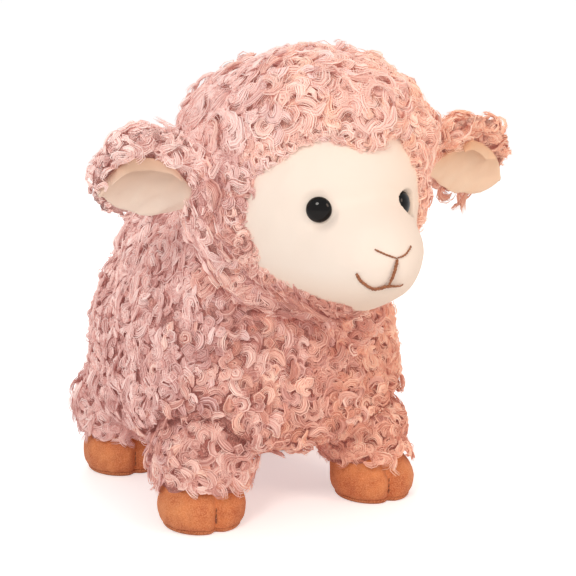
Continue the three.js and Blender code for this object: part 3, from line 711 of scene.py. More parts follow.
def lock_paths(ground, roots, normals, style, rng):
    """Middle lines of curling locks, the surface's normals along them and each root's clump height."""
    count = len(roots)
    s = np.linspace(0, 1, STEPS)
    down = unit(np.array([0, 0, -1.0]) - normals * -normals[:, 2:3] + 1e-4)
    across = np.cross(normals, down)
    kind = rng.random(count)
    length = rng.uniform(*style.length, count) * MM
    tight = 1 / (rng.uniform(*style.radius, count) * MM)
    bend = np.outer(tight, np.ones(STEPS))
    curl = kind < style.curls
    wave = (kind >= style.curls) & (kind < style.curls + style.waves)
    bend[curl] *= 0.75 + 0.75 * s
    bend[wave] *= np.cos(math.pi * 1.35 * s)
    bend[~curl & ~wave] *= 0.45
    hand = np.where(HAND(roots) + 0.3 * rng.normal(size=count) > 0, 1.0, -1.0)
    heading = SWIRL(roots) * 2.4 + rng.normal(0, 0.45, count)
    heading = heading * (1 - style.droop) + rng.normal(0, 0.35, count) * style.droop
    step = length[:, None] / (STEPS - 1)
    turn = heading[:, None] + hand[:, None] * np.cumsum(bend * step, axis=1)
    x = np.cumsum(np.cos(turn) * step, axis=1)
    y = np.cumsum(np.sin(turn) * step, axis=1)
    centre = 1 - 0.6 * style.droop
    x -= x.mean(axis=1, keepdims=True) * centre
    y -= y.mean(axis=1, keepdims=True) * centre
    lean = rng.uniform(0.0, style.lean, count)[:, None]
    lifted = (y - y.min(axis=1, keepdims=True)) * np.sin(lean) * 0.6
    y = y * np.cos(lean)
    flat = roots[:, None] + down[:, None] * x[..., None] + across[:, None] * y[..., None]
    places, up = (a.reshape(count, STEPS, 3) for a in ground.nearest(flat.reshape(-1, 3)))
    clump = CLUMPS(roots)
    high = (rng.uniform(*style.height, count) + CLUMP_MM * clump)[:, None] * MM
    high *= 1 - THINNING * thin_share(roots)[:, None]
    rise = smooth(0.0, 0.3, s) - 0.35 * smooth(0.75, 1.0, s)
    height = ROOT_MM * MM + (high - ROOT_MM * MM) * rise + lifted
    paths = places + up * np.maximum(height, ROOT_MM * MM)[..., None]
    paths[:, 1:-1] = (paths[:, :-2] + 2 * paths[:, 1:-1] + paths[:, 2:]) / 4
    sunk = np.minimum(paths[..., 2] - FLOOR_CLEARANCE, 0)
    paths[..., 2] -= 0.8 * sunk
    return paths, up, clump


def kinds(roots, clump, rng):
    """A number per lock that holds its hue and tone, both carrying painted light and shade."""
    right = roots @ WORLD_RIGHT
    y, z = roots[:, 1], roots[:, 2]
    # Warmer toward the camera's right and lower down, with a little random patchiness: painted warm light.
    warm = (right + 0.35 * (0.12 - z) + 0.014 * PATCHES(roots) + HUE_SHIFT) / HUE_SPAN
    hue = np.clip(np.round(warm * (HUE_BINS - 1) + rng.normal(0, 0.35, len(roots))), 0, HUE_BINS - 1)
    # Lighter high up, darker low down and below the chin: painted top light and painted shadow of the head.
    high = smooth(0.12, 0.23, z) - 0.4 * smooth(0.11, 0.05, z) - 0.8 * chin_share(roots)
    # Darker on the chest below the head and in the hollow below the near ear: painted shade.
    chest = smooth(-0.015, -0.05, y) * smooth(0.16, 0.135, z) * smooth(0.02, 0.06, z)
    cheek = smooth(0.036, 0.02, np.linalg.norm(roots - SKULL - NEAR_CHEEK, axis=1))
    shaded = np.maximum(chest, 2.2 * cheek)
    # Lighter on the right flank at mid height: painted light.
    lit = smooth(0.04, 0.08, right) * smooth(0.06, 0.09, z) * smooth(0.2, 0.16, z)
    # High clumps lighter and low ones darker: painted shade in the hollows.
    tone = 0.19 + 0.27 * high + 0.12 * clump - 0.1 * shaded - 0.2 * cheek + 0.2 * lit
    tone += rng.normal(0, 1, len(roots)) * (0.12 + 0.13 * shaded - 0.045 * np.maximum(high, 0))
    tone = np.clip(np.round(tone * (TONE_BINS - 1)), 0, TONE_BINS - 1)
    return hue * TONE_BINS + tone


def fluted(count, rng):
    """Sections of locks: domed above, with ridges and an uneven valley between them."""
    points = 2 * RIDGES - 1
    angle = np.append(math.pi * np.arange(points) / (points - 1), -math.pi / 2)
    valley = np.append(np.arange(points) % 2, 1)
    frayed = np.linspace(0.24, 0.5, STEPS)[None, :, None]
    reach = 1 - frayed * valley + rng.normal(0, 0.09, (count, STEPS, points + 1))
    dome = np.where(np.sin(angle) > 0, 0.27, 0.22)
    return np.stack([np.cos(angle) * reach, np.sin(angle) * dome * reach], axis=-1)


def locks(paths, up, kind, style, rng, shade=0):
    """Fluted locks along the paths, and loose strands on them; shade darkens the strands by tones of painted
    shade.
    """
    count = len(paths)
    s = np.linspace(0, 1, STEPS)
    side, over = frames_along(paths, up)
    twist = (rng.normal(0, 0.35, count)[:, None] + rng.normal(0, 0.9, count)[:, None] * (s - 0.5))[..., None]
    side, over = side * np.cos(twist) + over * np.sin(twist), over * np.cos(twist) - side * np.sin(twist)
    half = rng.uniform(*style.width, count)[:, None] / 2 * MM
    taper = np.interp(s, (0, 0.2, 0.5, 0.78, 1), (0.2, 0.75, 1, 0.72, 0.08))
    wide = half * taper
    parts = [tubes(paths, side, over, wide, wide, fluted(count, rng))]
    maps = tube_map(count, STEPS, 2 * RIDGES, np.broadcast_to(s, (count, STEPS)), kind)
    t = np.linspace(0.12, 1, STRAND_STEPS)
    at = t * (STEPS - 1)
    low = np.minimum(at.astype(int), STEPS - 2)
    share = (at - low)[None, :, None]

    def between(a):
        return a[:, low] * (1 - share) + a[:, low + 1] * share

    middle, beside, above = between(paths), between(side), between(over)
    tone = kind % TONE_BINS
    for strand in range(style.strands):
        offset = (2.6 * (strand + rng.random(count)) / style.strands - 1.3)[:, None]
        crest = 0.3 * np.sqrt(np.clip(1.3 - offset**2, 0.0, 1)) * np.interp(t, (0, 0.85, 1), (1, 0.8, 0.4))
        stray = rng.random(count)[:, None] ** 3
        lift = half * crest + (0.1 + 0.5 * rng.random(count)[:, None] + (0.3 + 2.2 * stray) * t**2) * MM
        gathered = np.interp(t, (0.12, 0.4, 0.8, 1), (0.35, 1, 1, 0.7))
        shift = offset * half * (1 + (0.1 + 0.5 * stray) * t) * gathered
        line = middle + beside * shift[..., None] + above * lift[..., None]
        thick = np.outer(rng.uniform(0.2, 0.38, count), np.interp(t, (0.1, 0.5, 1), (0.8, 1, 0.3))) * MM
        parts.append(tubes(line, *frames_along(line, above), thick, thick, circle(3)))
        # Strands one to three tones paler than their lock: painted highlights on the fibres.
        bright = np.clip(tone + rng.integers(1, 4, count) - (tone < 1) - shade, 0, TONE_BINS - 1)
        strand_kind = kind - tone + bright
        along = np.broadcast_to(0.2 + 0.75 * t, (count, STRAND_STEPS))
        maps += tube_map(count, STRAND_STEPS, 3, along, strand_kind, 0.0)
    return *joined(parts), maps


def drape(paths, leg):
    """Lays the wool that hangs below a leg's cover over its hoof."""
    x, y, _ = pivot(leg + "_swing")
    side = SIDES[leg.split("_")[1]]
    middle = np.array([x + side * HOOF_OUTWARD / 2, y - HOOF_FORWARD / 2])
    halves = np.array([HOOF_WIDTH + HOOF_OUTWARD, HOOF_LENGTH + HOOF_FORWARD]) / 2
    off = paths[..., :2] - middle
    share = np.linalg.norm(off / halves, axis=-1)
    low = smooth(HOOF_TOP + 0.006, HOOF_TOP - 0.004, paths[..., 2])
    wanted = np.maximum(share, np.interp(paths[..., 2], (0.012, 0.02, 0.031), (1.06, 1.03, 0.93)))
    grown = off * (1 + low * (wanted / np.maximum(share, 0.2) - 1))[..., None]
    return np.concatenate([middle + grown, paths[..., 2:]], axis=-1)


def wool(name, ground, roots, normals, style, seed, material, leg=None):
    """One piece of wool from its roots."""
    rng = np.random.default_rng(seed)
    paths, up, clump = lock_paths(ground, roots, normals, style, rng)
    if leg:
        paths = drape(paths, leg)
    kind = kinds(roots, clump, rng)
    # Strands below the chin a tone darker: painted shadow of the head.
    shade = (chin_share(roots) > 0.4) * (kind % TONE_BINS < 2)
    vertices, faces, maps = locks(paths, up, kind, style, rng, shade)
    piece = mesh_object(name, vertices, faces, material, maps)
    tuft_faces = sum(len(f) for f in faces[:2])
    smooth_faces = np.arange(len(piece.data.polygons)) < tuft_faces
    piece.data.polygons.foreach_set("use_smooth", smooth_faces)
    return piece


def open_roots(ground, spacing, seed, neighbours, reach=0.015):
    """Places for wool on a ground, without those that face a neighbour close by."""
    points, normals = ground.scatter(spacing, np.random.default_rng(seed))
    free = np.ones(len(points), bool)
    for other in neighbours:
        free &= ~other.covers(points + normals * MM, normals, reach)
    return points[free], normals[free]


# Head


def skull_reach(d):
    return 1 / np.linalg.norm(d / (SKULL_SIZE / 2), axis=-1)


def muzzle_reach(d):
    halves = MUZZLE_SIZE / 2
    ray, offset = d / halves, MUZZLE_AT / halves
    along = ray @ offset
    square = (ray**2).sum(axis=-1)
    inside = along**2 - square * (offset @ offset - 1)
    return np.where(inside > 0, np.maximum(0, (along + np.sqrt(np.maximum(inside, 0))) / square), 0)


def face_reach(d):
    """Distance from the skull's centre to the face in a direction."""
    skull, muzzle = skull_reach(d), muzzle_reach(d)
    top = np.maximum(skull, muzzle)
    blend = np.exp((skull - top) / MUZZLE_BLEND) + np.exp((muzzle - top) / MUZZLE_BLEND)
    return top + MUZZLE_BLEND * np.log(blend)


def outline_share(d):
    """1 on the face's outline, less inside it and more beyond."""
    edge = np.array(FACE_EDGE_MM) * MM - FACE_CENTRE
    turn = np.arctan2(edge[:, 1], edge[:, 0])
    order = np.argsort(turn)
    face = face_reach(d)
    across, up = d[..., 0] * face - FACE_CENTRE[0], d[..., 2] * face - FACE_CENTRE[1]
    distance = np.linalg.norm(edge, axis=1)
    reach = np.interp(np.arctan2(up, across), turn[order], distance[order], period=2 * math.pi)
    return np.where(d[..., 1] < 0, np.hypot(across, up) / reach, 9.0)


def hood_reach(d):
    """Distance from the skull's centre to the hood's outside in a direction."""
    away = outline_share(d)
    wall = HOOD_EDGE_WALL + (HOOD_WALL - HOOD_EDGE_WALL) * smooth(1, HOOD_SWELL_SHARE, away)
    ahead = smooth(*BALL_LIMIT_SHARES, -d[..., 1])
    return np.minimum(face_reach(d) + wall, BALL_RADIUS * (1 + ahead))


def thin_share(points):
    """Where the hood lies thin: on the far cheek and below the chin."""
    x, y, z = np.moveaxis(points - SKULL, -1, 0)
    ahead = smooth(0.008, -0.014, y)
    cheek = smooth(0.015, 0.045, x) * smooth(0.034, 0.004, z)
    chin = smooth(-0.03, -0.052, z)
    return ahead * np.maximum(cheek, chin)


def chin_share(points):
    """Where the hood lies thin below the chin."""
    return thin_share(points) * (points[:, 2] < SKULL[2] - 0.03)


def on_face(aside, drop, lift=0.0):
    """A place on the face, aside and below the skull's centre, lifted off it."""
    near, far = 0.0, 0.2
    for _ in range(40):
        middle = (near + far) / 2
        point = np.array([aside, -middle, -drop])
        if np.linalg.norm(point) < face_reach(unit(point)):
            near = middle
        else:
            far = middle
    place = np.array([aside, -near, -drop])
    return SKULL + unit(place) * (np.linalg.norm(place) + lift)


def eye_place(name):
    """The middle of an eye's rim and the way that it looks."""
    side, aside, step = SIDES[name], EYE_ASIDE[name], EYE_RADIUS / 2
    middle = on_face(side * aside, EYE_DROP)
    inward = on_face(side * (aside - step), EYE_DROP) - middle
    upward = on_face(side * aside, EYE_DROP - step) - middle
    axis = unit(np.cross(upward, inward) * side)
    return middle - axis * EYE_SINK[name], axis


def ball_points(reach, columns, rows, front_share=0.5):
    """A grid of points round the skull, with its poles ahead and behind."""
    polar = math.pi * (np.arange(1, rows) / rows) ** (1 + front_share)
    angle = angles(columns)
    d = np.stack([
        np.sin(polar)[:, None] * np.cos(angle),
        -np.cos(polar)[:, None] * np.ones(columns),
        np.sin(polar)[:, None] * np.sin(angle),
    ], axis=-1)
    return d, SKULL + d * reach(d)[..., None]


def face_piece(material):
    """The smooth face, closed behind, with a dent round each eye and soft puckers at the stitches."""
    d, points = ball_points(face_reach, 220, 150)
    for name in SIDES:
        seat, axis = eye_place(name)
        height = (points - seat) @ axis
        away = np.linalg.norm(points - seat - height[..., None] * axis, axis=-1)
        flat = (1 - smooth(EYE_RADIUS, EYE_SEAT[name], away)) * (np.abs(height) < 0.01)
        points = points + axis * (flat * (EYE_RIM * 0.4 - height))[..., None]
    for drop, depth, width in FACE_DENTS:
        away = np.linalg.norm(points - on_face(0, drop), axis=-1)
        points = points - d * (depth * np.exp(-((away / width) ** 2)))[..., None]
    points = points + d * (PLUSH_SWELL * Waves(31, 0.018)(points))[..., None]
    made = shell("face", points, material)
    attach(made, "head")
    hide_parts("face_panel")


def head_core(material):
    """The hood's backing: high over the skull, and under the face within its outline."""

    def reach(d):
        under = face_reach(d) - HOOD_UNDER_FACE
        over = hood_reach(d) - WOOL_INSET
        slim = HOOD_SLIMMING * thin_share(SKULL + d * over[..., None])
        over = np.maximum(over - slim, np.minimum(over, face_reach(d) + HOOD_OVER_FACE))
        off = np.arccos(np.clip(d @ unit(np.array([0, 0, 0.5]) - WORLD_RIGHT), -1, 1))
        swell = NEAR_SWELL * np.exp(-((off / NEAR_SWELL_ANGLE) ** 2))
        over = over + swell - HOOD_TOP_DROP * smooth(0.75, 1, d[..., 2])
        return under + (over - under) * smooth(1.0, 1.09, outline_share(d))

    d, points = ball_points(reach, 120, 90, 0.2)
    points = points + d * (RIPPLE_DEPTH * Waves(32, 0.016)(points))[..., None]
    made = shell("hood_backing", points, material)
    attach(made, "head")
    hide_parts("head_left_panel", "head_right_panel", "head_stuffing")
    return made


def lathe(name, profile, seat, axis, material, ring=False):
    """A turned form whose profile is (radius, height) pairs, standing on a seat along an axis."""
    turned = np.array([[(r * math.cos(a), r * math.sin(a), h) for a in angles(48)] for r, h in profile])
    facing = np.array(Vector((0, 0, 1)).rotation_difference(Vector(axis)).to_matrix())
    return shell(name, seat + turned @ facing.T, material, ring)


def eye_pieces(material, washer_material):
    """The domed eyes with their stems, and the washers behind the face."""
    profile = EYE_STEM + [(EYE_RADIUS * 0.96, 0), (EYE_RADIUS, EYE_RIM * 0.5)]
    for ring in range(12):
        a = math.pi / 2 * ring / 12
        profile.append((EYE_RADIUS * math.cos(a), EYE_RIM + (EYE_DOME - EYE_RIM) * math.sin(a)))
    profile.append((EYE_RADIUS * 0.02, EYE_DOME))
    for name in SIDES:
        seat, axis = eye_place(name)
        made = lathe(f"eye_{name}_dome", profile, seat, axis, material)
        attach(made, "head")
        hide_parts(f"eye_{name}")
        made = lathe(f"eye_{name}_lock_washer", EYE_WASHER, seat, axis, washer_material, ring=True)
        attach(made, "head")
        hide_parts(f"eye_washer_{name}")


def stitched_line(name, places, thread, material, node, thin_end=0.55):
    """Twisted thread laid on the face through (aside, drop) places, drawn in at every stitch."""
    spots = np.array(places, float)
    t = np.linspace(0, len(spots) - 1, 14 * (len(spots) - 1) + 1)
    curve = np.stack([smooth_curve(spots[:, i], t) for i in range(2)], axis=1)
    gaps = np.linalg.norm(np.diff(curve, axis=0), axis=1)
    run = np.concatenate([[0], np.cumsum(gaps)])
    dip = 0.25 * np.abs(np.sin(math.pi * run / STITCH_LENGTH)) ** 0.5
    line = np.array([on_face(a, d, thread * (THREAD_LIFT + k)) for (a, d), k in zip(curve, dip)])[None]
    up = unit(line - SKULL)
    side, over = frames_along(line, up)
    half = thread / 2 * np.interp(run, (0, 0.0007, run[-1] * 0.7, run[-1]), (0.75, 1, 1, thin_end))[None]
    strands = []
    for phase in (0, math.pi):
        twist = (run / THREAD_TWIST * math.pi + phase)[None, :, None]
        path = line + (side * np.cos(twist) + over * np.sin(twist)) * half[..., None] * 0.42
        strands.append(tubes(path, *frames_along(path, up), half * 0.68, half * 0.68, circle(8)))
    made = mesh_object(name, *joined(strands), material)
    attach(made, "head")
    if node:
        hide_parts(node)


def smooth_curve(values, t):
    """A curve through the values at 0, 1, 2 and so on."""
    padded = np.concatenate([[2 * values[0] - values[1]], values, [2 * values[-1] - values[-2]]])
    i = np.minimum(t.astype(int), len(values) - 2)
    f = t - i
    a, b, c, d = padded[i], padded[i + 1], padded[i + 2], padded[i + 3]
    return 0.5 * (2 * b + (c - a) * f + (2 * a - 5 * b + 4 * c - d) * f**2 + (3 * b - a - 3 * c + d) * f**3)


def stitches(material):
    """The V of the nose, the line below it and the smile."""
    corner = (NOSE_HALF_WIDTH, NOSE_DROP - NOSE_RISE)
    between = (NOSE_HALF_WIDTH / 2, NOSE_DROP - NOSE_RISE * 0.42)
    for name, side in SIDES.items():
        bow = NOSE_RISE * 0.16 * (side > 0)
        half = [(side * corner[0], corner[1]), (side * between[0], between[1] + bow), (0, NOSE_DROP)]
        stitched_line(f"nose_stitches_{name}", half, NOSE_THREAD, material, "nose_embroidery")
    lip = (LIP_ASIDE, MOUTH_DROP)
    smile = [
        (-SMILE_HALF_WIDTH, MOUTH_DROP - SMILE_RISE),
        (-SMILE_HALF_WIDTH * 0.86, MOUTH_DROP - SMILE_RISE * 0.42),
        (-SMILE_HALF_WIDTH * 0.52, MOUTH_DROP + SMILE_SAG),
        lip,
        (SMILE_FAR_WIDTH * 0.5, MOUTH_DROP + SMILE_SAG * 0.5),
        (SMILE_FAR_WIDTH, MOUTH_DROP + SMILE_SAG * 0.1),
    ]
    stitched_line("mouth_stitches", smile, SMILE_THREAD, material, "mouth_embroidery", 0.35)
    line = [(0, NOSE_DROP + 0.0007), (LIP_ASIDE / 2, (NOSE_DROP + MOUTH_DROP) / 2), lip]
    stitched_line("lip_stitches", line, SMILE_THREAD, material, None)


# Ears


def ear_point(side, out, across, back):
    """A place on an ear: out along it, down across it and back through it."""
    root = pivot("ear_left_flap" if side > 0 else "ear_right_flap")
    out, across, back = (np.asarray(v, float)[..., None] for v in (out, across, back))
    return root + np.array([side, 0, 0]) * out + EAR_DOWN * across + EAR_BEHIND * back


def ear_share(shares, out):
    return np.interp(np.asarray(out) / EAR_LENGTH, EAR_STATIONS, shares)


def ear_sag(name, out):
    return EAR_SAG[name] * smooth(0.02, 0.056, out)


def cup_depth(name, out, across):
    """How far back the front of the ear's fabric lies."""
    across = across - ear_sag(name, out)
    whole = EAR_WIDTH / 2 * ear_share(EAR_WIDTH_SHARES, out)
    rise = np.sqrt(np.clip(1 - (across / whole) ** 2, 0, 1))
    return EAR_CUP * ear_share(EAR_CUP_SHARES, out) * rise**2 - EAR_FRONT_WALL * rise


def lining_bounds(name, out):
    """Upper and lower edge of the lining at a distance out."""
    places, *edges = LINING_MM[name]
    shifts = (-1.5, 0, 1.5)
    top, bottom = (sum(np.interp(out / MM + s, places, edge) for s in shifts) / len(shifts) for edge in edges)
    return top * MM, bottom * MM


def lining_piece(name, side, material):
    """The cupped inside of an ear, a little plump, with a rounded rim."""
    rows, columns = 60, 64
    places = LINING_MM[name][0]
    out = np.linspace(places[0] + 0.3, places[-1] - 0.3, rows) * MM
    top, bottom = lining_bounds(name, out)
    angle = angles(columns)
    across = ((top + bottom) / 2)[:, None] + ((bottom - top) / 2)[:, None] * np.cos(angle)
    depth = cup_depth(name, out[:, None], across)
    plump = LINING_PLUMP + LINING_RIM * np.abs(np.sin(angle)) ** 0.5 * np.ones((rows, 1))
    to_back = np.where(np.sin(angle) > 0, 1.0, -1.0)
    back = depth - LINING_LIFT + to_back * plump * np.abs(np.sin(angle)) ** 0.45
    points = ear_point(side, np.repeat(out[:, None], columns, 1), across, back)
    points = points + 0.00035 * Waves(41, 0.017)(points)[..., None]
    made = shell(f"ear_{name}_inside", points, material)
    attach(made, f"ear_{name}")
    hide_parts(f"ear_{name}_lining")


def fold_piece(name, side, material):
    """The lining's upper edge, folded over to the front."""
    rows, columns = 40, 20
    out = np.linspace(*FOLD_MM[name], rows) * MM
    share = np.linspace(0, 1, rows)
    top, _ = lining_bounds(name, out)
    wide = 0.001 + FOLD_WIDTH * np.interp(share, (0, 0.2, 0.55, 0.78, 1), (0.1, 0.5, 0.8, 1, 0.05))
    angle = angles(columns)
    across = (top - 0.001 + wide * 0.45)[:, None] + (wide / 2)[:, None] * np.cos(angle)
    lift = FOLD_LIFT + 0.0022 * np.cos(angle) * np.ones((rows, 1))
    back = cup_depth(name, out[:, None], np.maximum(across, top[:, None])) - lift - 0.0009 * np.sin(angle)
    points = ear_point(side, np.repeat(out[:, None], columns, 1), across, back)
    made = shell(f"ear_{name}_fold", points, material)
    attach(made, f"ear_{name}")


# Hooves


def hoof_outline(x, y, height, share, lean, cleft, side):
    """One ring of a hoof, drawn in at the toe."""
    angle = angles(144)
    from_toe = np.arctan2(np.cos(angle), -np.sin(angle))
    dent = 0.65 * np.exp(-((from_toe / 0.14) ** 2)) + 0.35 * np.exp(-((from_toe / 0.34) ** 2))
    drawn = 1 - cleft / (HOOF_LENGTH / 2) * dent
    across = HOOF_WIDTH * share / 2 * np.cos(angle) * drawn
    ahead = HOOF_LENGTH * share / 2 * np.sin(angle) * drawn
    ring = np.stack([across, ahead, np.full(len(angle), height)], axis=1)
    return ring + np.array([x + side * HOOF_OUTWARD * lean, y - HOOF_FORWARD * lean, 0])


def hoof_pieces(end, side, upper, lower, thread):
    """A hoof's plush cover, its sole and the stitch in its cleft."""
    leg = f"{end}_{side}_leg"
    x, y, _ = pivot(leg + "_swing")
    sign = SIDES[side]
    heights = HOOF_LEVELS[:, 0]
    rings = []
    for z in np.interp(np.linspace(0, 1, 46), np.linspace(0, 1, len(heights)), heights):
        share, lean, cleft = (np.interp(z, heights, HOOF_LEVELS[:, i]) for i in (1, 2, 3))
        rings.append(hoof_outline(x, y, z, share, lean, cleft * MM, sign))
    points = np.array(rings)
    middle = np.array([x, y, HOOF_MIDDLE])
    points = points + unit(points - middle) * (PLUSH_SWELL * Waves(51, 0.011)(points))[..., None]
    cover = shell(f"{end}_{side}_hoof", points, upper)
    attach(cover, leg)
    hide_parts(f"{end}_{side}_hoof_cover")
    rings = [hoof_outline(x, y, z, share, 1, SOLE_CLEFT_MM * MM, sign) for z, share in SOLE_LEVELS]
    sole = shell(f"{end}_{side}_sole", np.array(rings), lower)
    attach(sole, leg)
    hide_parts(f"{end}_{side}_hoof_sole")
    cleft_stitch(end, side, x, y, sign, leg, thread)


def cleft_stitch(end, side, x, y, sign, leg, material):
    """Short stitches that draw in the cleft."""
    t = np.linspace(-1, 1, 9)
    depth = HOOF_LENGTH / 2 - CLEFT_THREAD_IN + 0.0004 * (1 - t**2)
    thick = CLEFT_THREAD * np.interp(np.abs(t), (0, 0.8, 1), (1, 0.9, 0.4))[None]
    across, ahead = x + sign * HOOF_OUTWARD + 0.0002 * t, y - HOOF_FORWARD - depth
    hint = np.array([[[0, -1.0, 0]]])
    parts = []
    for i in range(CLEFT_STITCHES):
        z = CLEFT_STITCH_LOW + CLEFT_STITCH_STEP * i
        path = np.stack([across, ahead, z + 0.0014 * t], axis=1)[None]
        parts.append(tubes(path, *frames_along(path, hint), thick, thick, circle(8)))
    made = mesh_object(f"{end}_{side}_cleft", *joined(parts), material)
    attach(made, leg)
    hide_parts(f"{end}_{side}_hoof_cleft_stitch")


# Building


def build_cores(materials):
    """Soft forms under the wool, by name."""
    backing = materials["backing"]
    cores = {"head": head_core(backing)}
    nodes = ["body_left_panel", "body_right_panel", "belly_panel", "body_stuffing"]
    cores["body"] = core("body_backing", nodes, "body", backing)
    slim_back(cores["body"])
    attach(cores["body"], "body")
    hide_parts(*nodes)
    cores["tail"] = core("tail_backing", ["tail_cover", "tail_stuffing"], "tail", backing)
    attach(cores["tail"], "tail")
    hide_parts("tail_cover", "tail_stuffing")
    for name in SIDES:
        key = f"ear_{name}"
        cores[key] = core(f"{key}_backing", [f"{key}_back", f"{key}_lining"], "ear", backing, smoothing=10)
        shape_ear(cores[key], name)
        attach(cores[key], key)
        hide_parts(f"{key}_back")
    for leg in LEG_NAMES:
        nodes = [f"{leg}_cover", f"{leg}_stuffing"]
        cores[leg] = core(f"{leg}_backing", nodes, "leg", backing, LOW_INSET * (leg in LEG_STYLES))
        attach(cores[leg], leg)
        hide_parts(*nodes)
    for key, piece in cores.items():
        if key != "head":
            ripple(piece, RIPPLE_DEPTH, RIPPLE_LENGTH, 61)
    neck = core("neck_filling", ["neck_stuffing"], "neck", materials["filling"])
    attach(neck, "neck")
    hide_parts("neck_stuffing")
    return cores


BODY_STYLE = Style((13, 22), (2.2, 4.4), (3.2, 5.4), (0.2, 1.9), 8, curls=0.7)
HOOD_STYLE = Style((16, 27), (2.8, 5.8), (3.8, 6.4), (0.2, 2.1), 8, curls=0.66, waves=0.22)
FRINGE_STYLE = Style((10, 15), (2.0, 3.6), (2.4, 4.0), (0.4, 2.0), 5, curls=0.75, waves=0.15)
LEG_STYLE = Style((14, 23), (2.3, 4.6), (3.0, 5.2), (0.2, 2.0), 8, curls=0.58, waves=0.27, droop=0.3)
LOW_STYLE = Style((12, 19), (2.3, 4.2), (3.0, 4.8), (0.1, 1.2), 7, waves=0.27, droop=0.3, lean=0.3)
HEM_STYLE = Style(
    (11, 19), (2.4, 4.6), (2.6, 4.4), (0.4, 1.8), 7, curls=0.5, waves=0.35, droop=0.85, lean=0.5
)
EAR_STYLE = Style((13, 21), (2.3, 4.4), (2.8, 4.8), (0.5, 2.8), 7, curls=0.66, waves=0.24)
TAIL_STYLE = Style((11, 18), (2.2, 4.0), (3.0, 5.0), (0.8, 3.0), 8, curls=0.7)
TUFT_STYLE = Style((0, 0), (0, 0), (4.8, 6.2), (0, 0), 9)
LEG_STYLES = {"front_left_leg": LOW_STYLE}


def build_wool(cores, material):
    """All locks, on the cores."""
    grounds = {name: Ground(piece) for name, piece in cores.items()}
    body_wool(grounds, material)
    head_wool(grounds, material)
    for i, leg in enumerate(LEG_NAMES):
        roots, normals = open_roots(grounds[leg], SPACING["leg"], 300 + i, [grounds["body"]], 0.02)
        keep = (roots[:, 2] < LEG_WOOL_TOP) & (roots[:, 2] > HOOF_TOP - 0.001)
        style = LEG_STYLES.get(leg, LEG_STYLE)
        made = wool(f"{leg}_wool", grounds[leg], roots[keep], normals[keep], style, 310 + i, material, leg)
        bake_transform(made)
        roots, normals = open_roots(grounds[leg], SPACING["hem"], 320 + i, [])
        hem = (roots[:, 2] > HOOF_TOP - 0.002) & (roots[:, 2] < HOOF_TOP + 0.004)
        piece = f"{leg}_hem_wool"
        made = wool(piece, grounds[leg], roots[hem], normals[hem], HEM_STYLE, 330 + i, material, leg)
        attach(made, leg)
    for i, (name, side) in enumerate(SIDES.items()):
        ear_wool(grounds, name, side, 400 + 10 * i, material)
    roots, normals = open_roots(grounds["tail"], SPACING["tail"], 500, [grounds["body"]], 0.01)
    made = wool("tail_wool", grounds["tail"], roots, normals, TAIL_STYLE, 501, material)
    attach(made, "tail")


def body_wool(grounds, material):
    """Locks on the body in twelve pieces, clear of the head, the tail and the legs."""
    around = [grounds["head"], grounds["tail"]] + [grounds[leg] for leg in LEG_NAMES]
    roots, normals = open_roots(grounds["body"], SPACING["body"], 100, around, 0.005)
    room = np.linalg.norm(roots - pivot("tail_wag"), axis=1) > TAIL_ROOM
    roots, normals = roots[room], normals[room]
    middle = (pivot("front_left_leg_swing")[1] + pivot("rear_left_leg_swing")[1]) / 2
    first, last = (middle + edge for edge in BODY_BAND_EDGES)
    bands = {"front": (-1, first), "middle": (first, last), "rear": (last, 1)}
    halves = {"low": (-1, BODY_HALF_HEIGHT), "high": (BODY_HALF_HEIGHT, 1)}
    seed = 110
    for band, (near, far) in bands.items():
        for half, (low, high) in halves.items():
            for name, side in SIDES.items():
                keep = (roots[:, 1] >= near) & (roots[:, 1] < far) & (roots[:, 0] * side >= 0)
                keep &= (roots[:, 2] >= low) & (roots[:, 2] < high)
                seed += 1
                piece = f"body_{band}_{half}_{name}_wool"
                made = wool(piece, grounds["body"], roots[keep], normals[keep], BODY_STYLE, seed, material)
                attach(made, "body")


def head_wool(grounds, material):
    """Locks on the hood in eight pieces, and shorter ones round the face."""
    roots, normals = open_roots(grounds["head"], SPACING["hood"], 200, [grounds["body"]], 0.005)
    hood = outline_share(unit(roots - SKULL)) > HOOD_SHARE
    hood &= np.linalg.norm(roots - ear_point(1, 0.008, 0.010, -0.002), axis=1) > EAR_SOCKET
    seed = 210
    for end, forward in ENDS.items():
        for name, side in SIDES.items():
            for level, upward in {"upper": 1, "lower": -1}.items():
                keep = hood & ((roots[:, 1] - SKULL[1] + HOOD_QUARTER) * forward >= 0)
                keep &= (roots[:, 2] - SKULL[2] - HOOD_QUARTER) * upward >= 0
                keep &= roots[:, 0] * side >= 0
                seed += 1
                piece = f"hood_{end}_{level}_{name}_wool"
                made = wool(piece, grounds["head"], roots[keep], normals[keep], HOOD_STYLE, seed, material)
                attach(made, "head")
    roots, normals = open_roots(grounds["head"], SPACING["fringe"], 220, [grounds["body"]])
    share = outline_share(unit(roots - SKULL))
    edge = (share > FRINGE_SHARES[0]) & (share < FRINGE_SHARES[1])
    made = wool("hood_fringe_wool", grounds["head"], roots[edge], normals[edge], FRINGE_STYLE, 221, material)
    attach(made, "head")


def ear_wool(grounds, name, side, seed, material):
    """Curls on the back and the border of an ear, clear of its lining."""
    ground = grounds[f"ear_{name}"]
    roots, normals = open_roots(ground, SPACING["ear"], seed, [grounds["head"]], 0.006)
    root = pivot(f"ear_{name}_flap")
    out = (roots - root)[:, 0] * side
    across = (roots - root) @ EAR_DOWN
    facing = normals @ EAR_BEHIND
    first, last = (LINING_MM[name][0][i] * MM for i in (0, -1))
    top, bottom = lining_bounds(name, np.clip(out, first, last))
    inside = (out < last + 0.001) & (across > top - 0.002) & (across < bottom + 0.002)
    keep = ~(inside & (facing < 0.1))
    made = wool(f"ear_{name}_wool", ground, roots[keep], normals[keep], EAR_STYLE, seed + 1, material)
    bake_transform(made)
    if name == "left":
        ear_tuft(name, side, seed + 2, material)


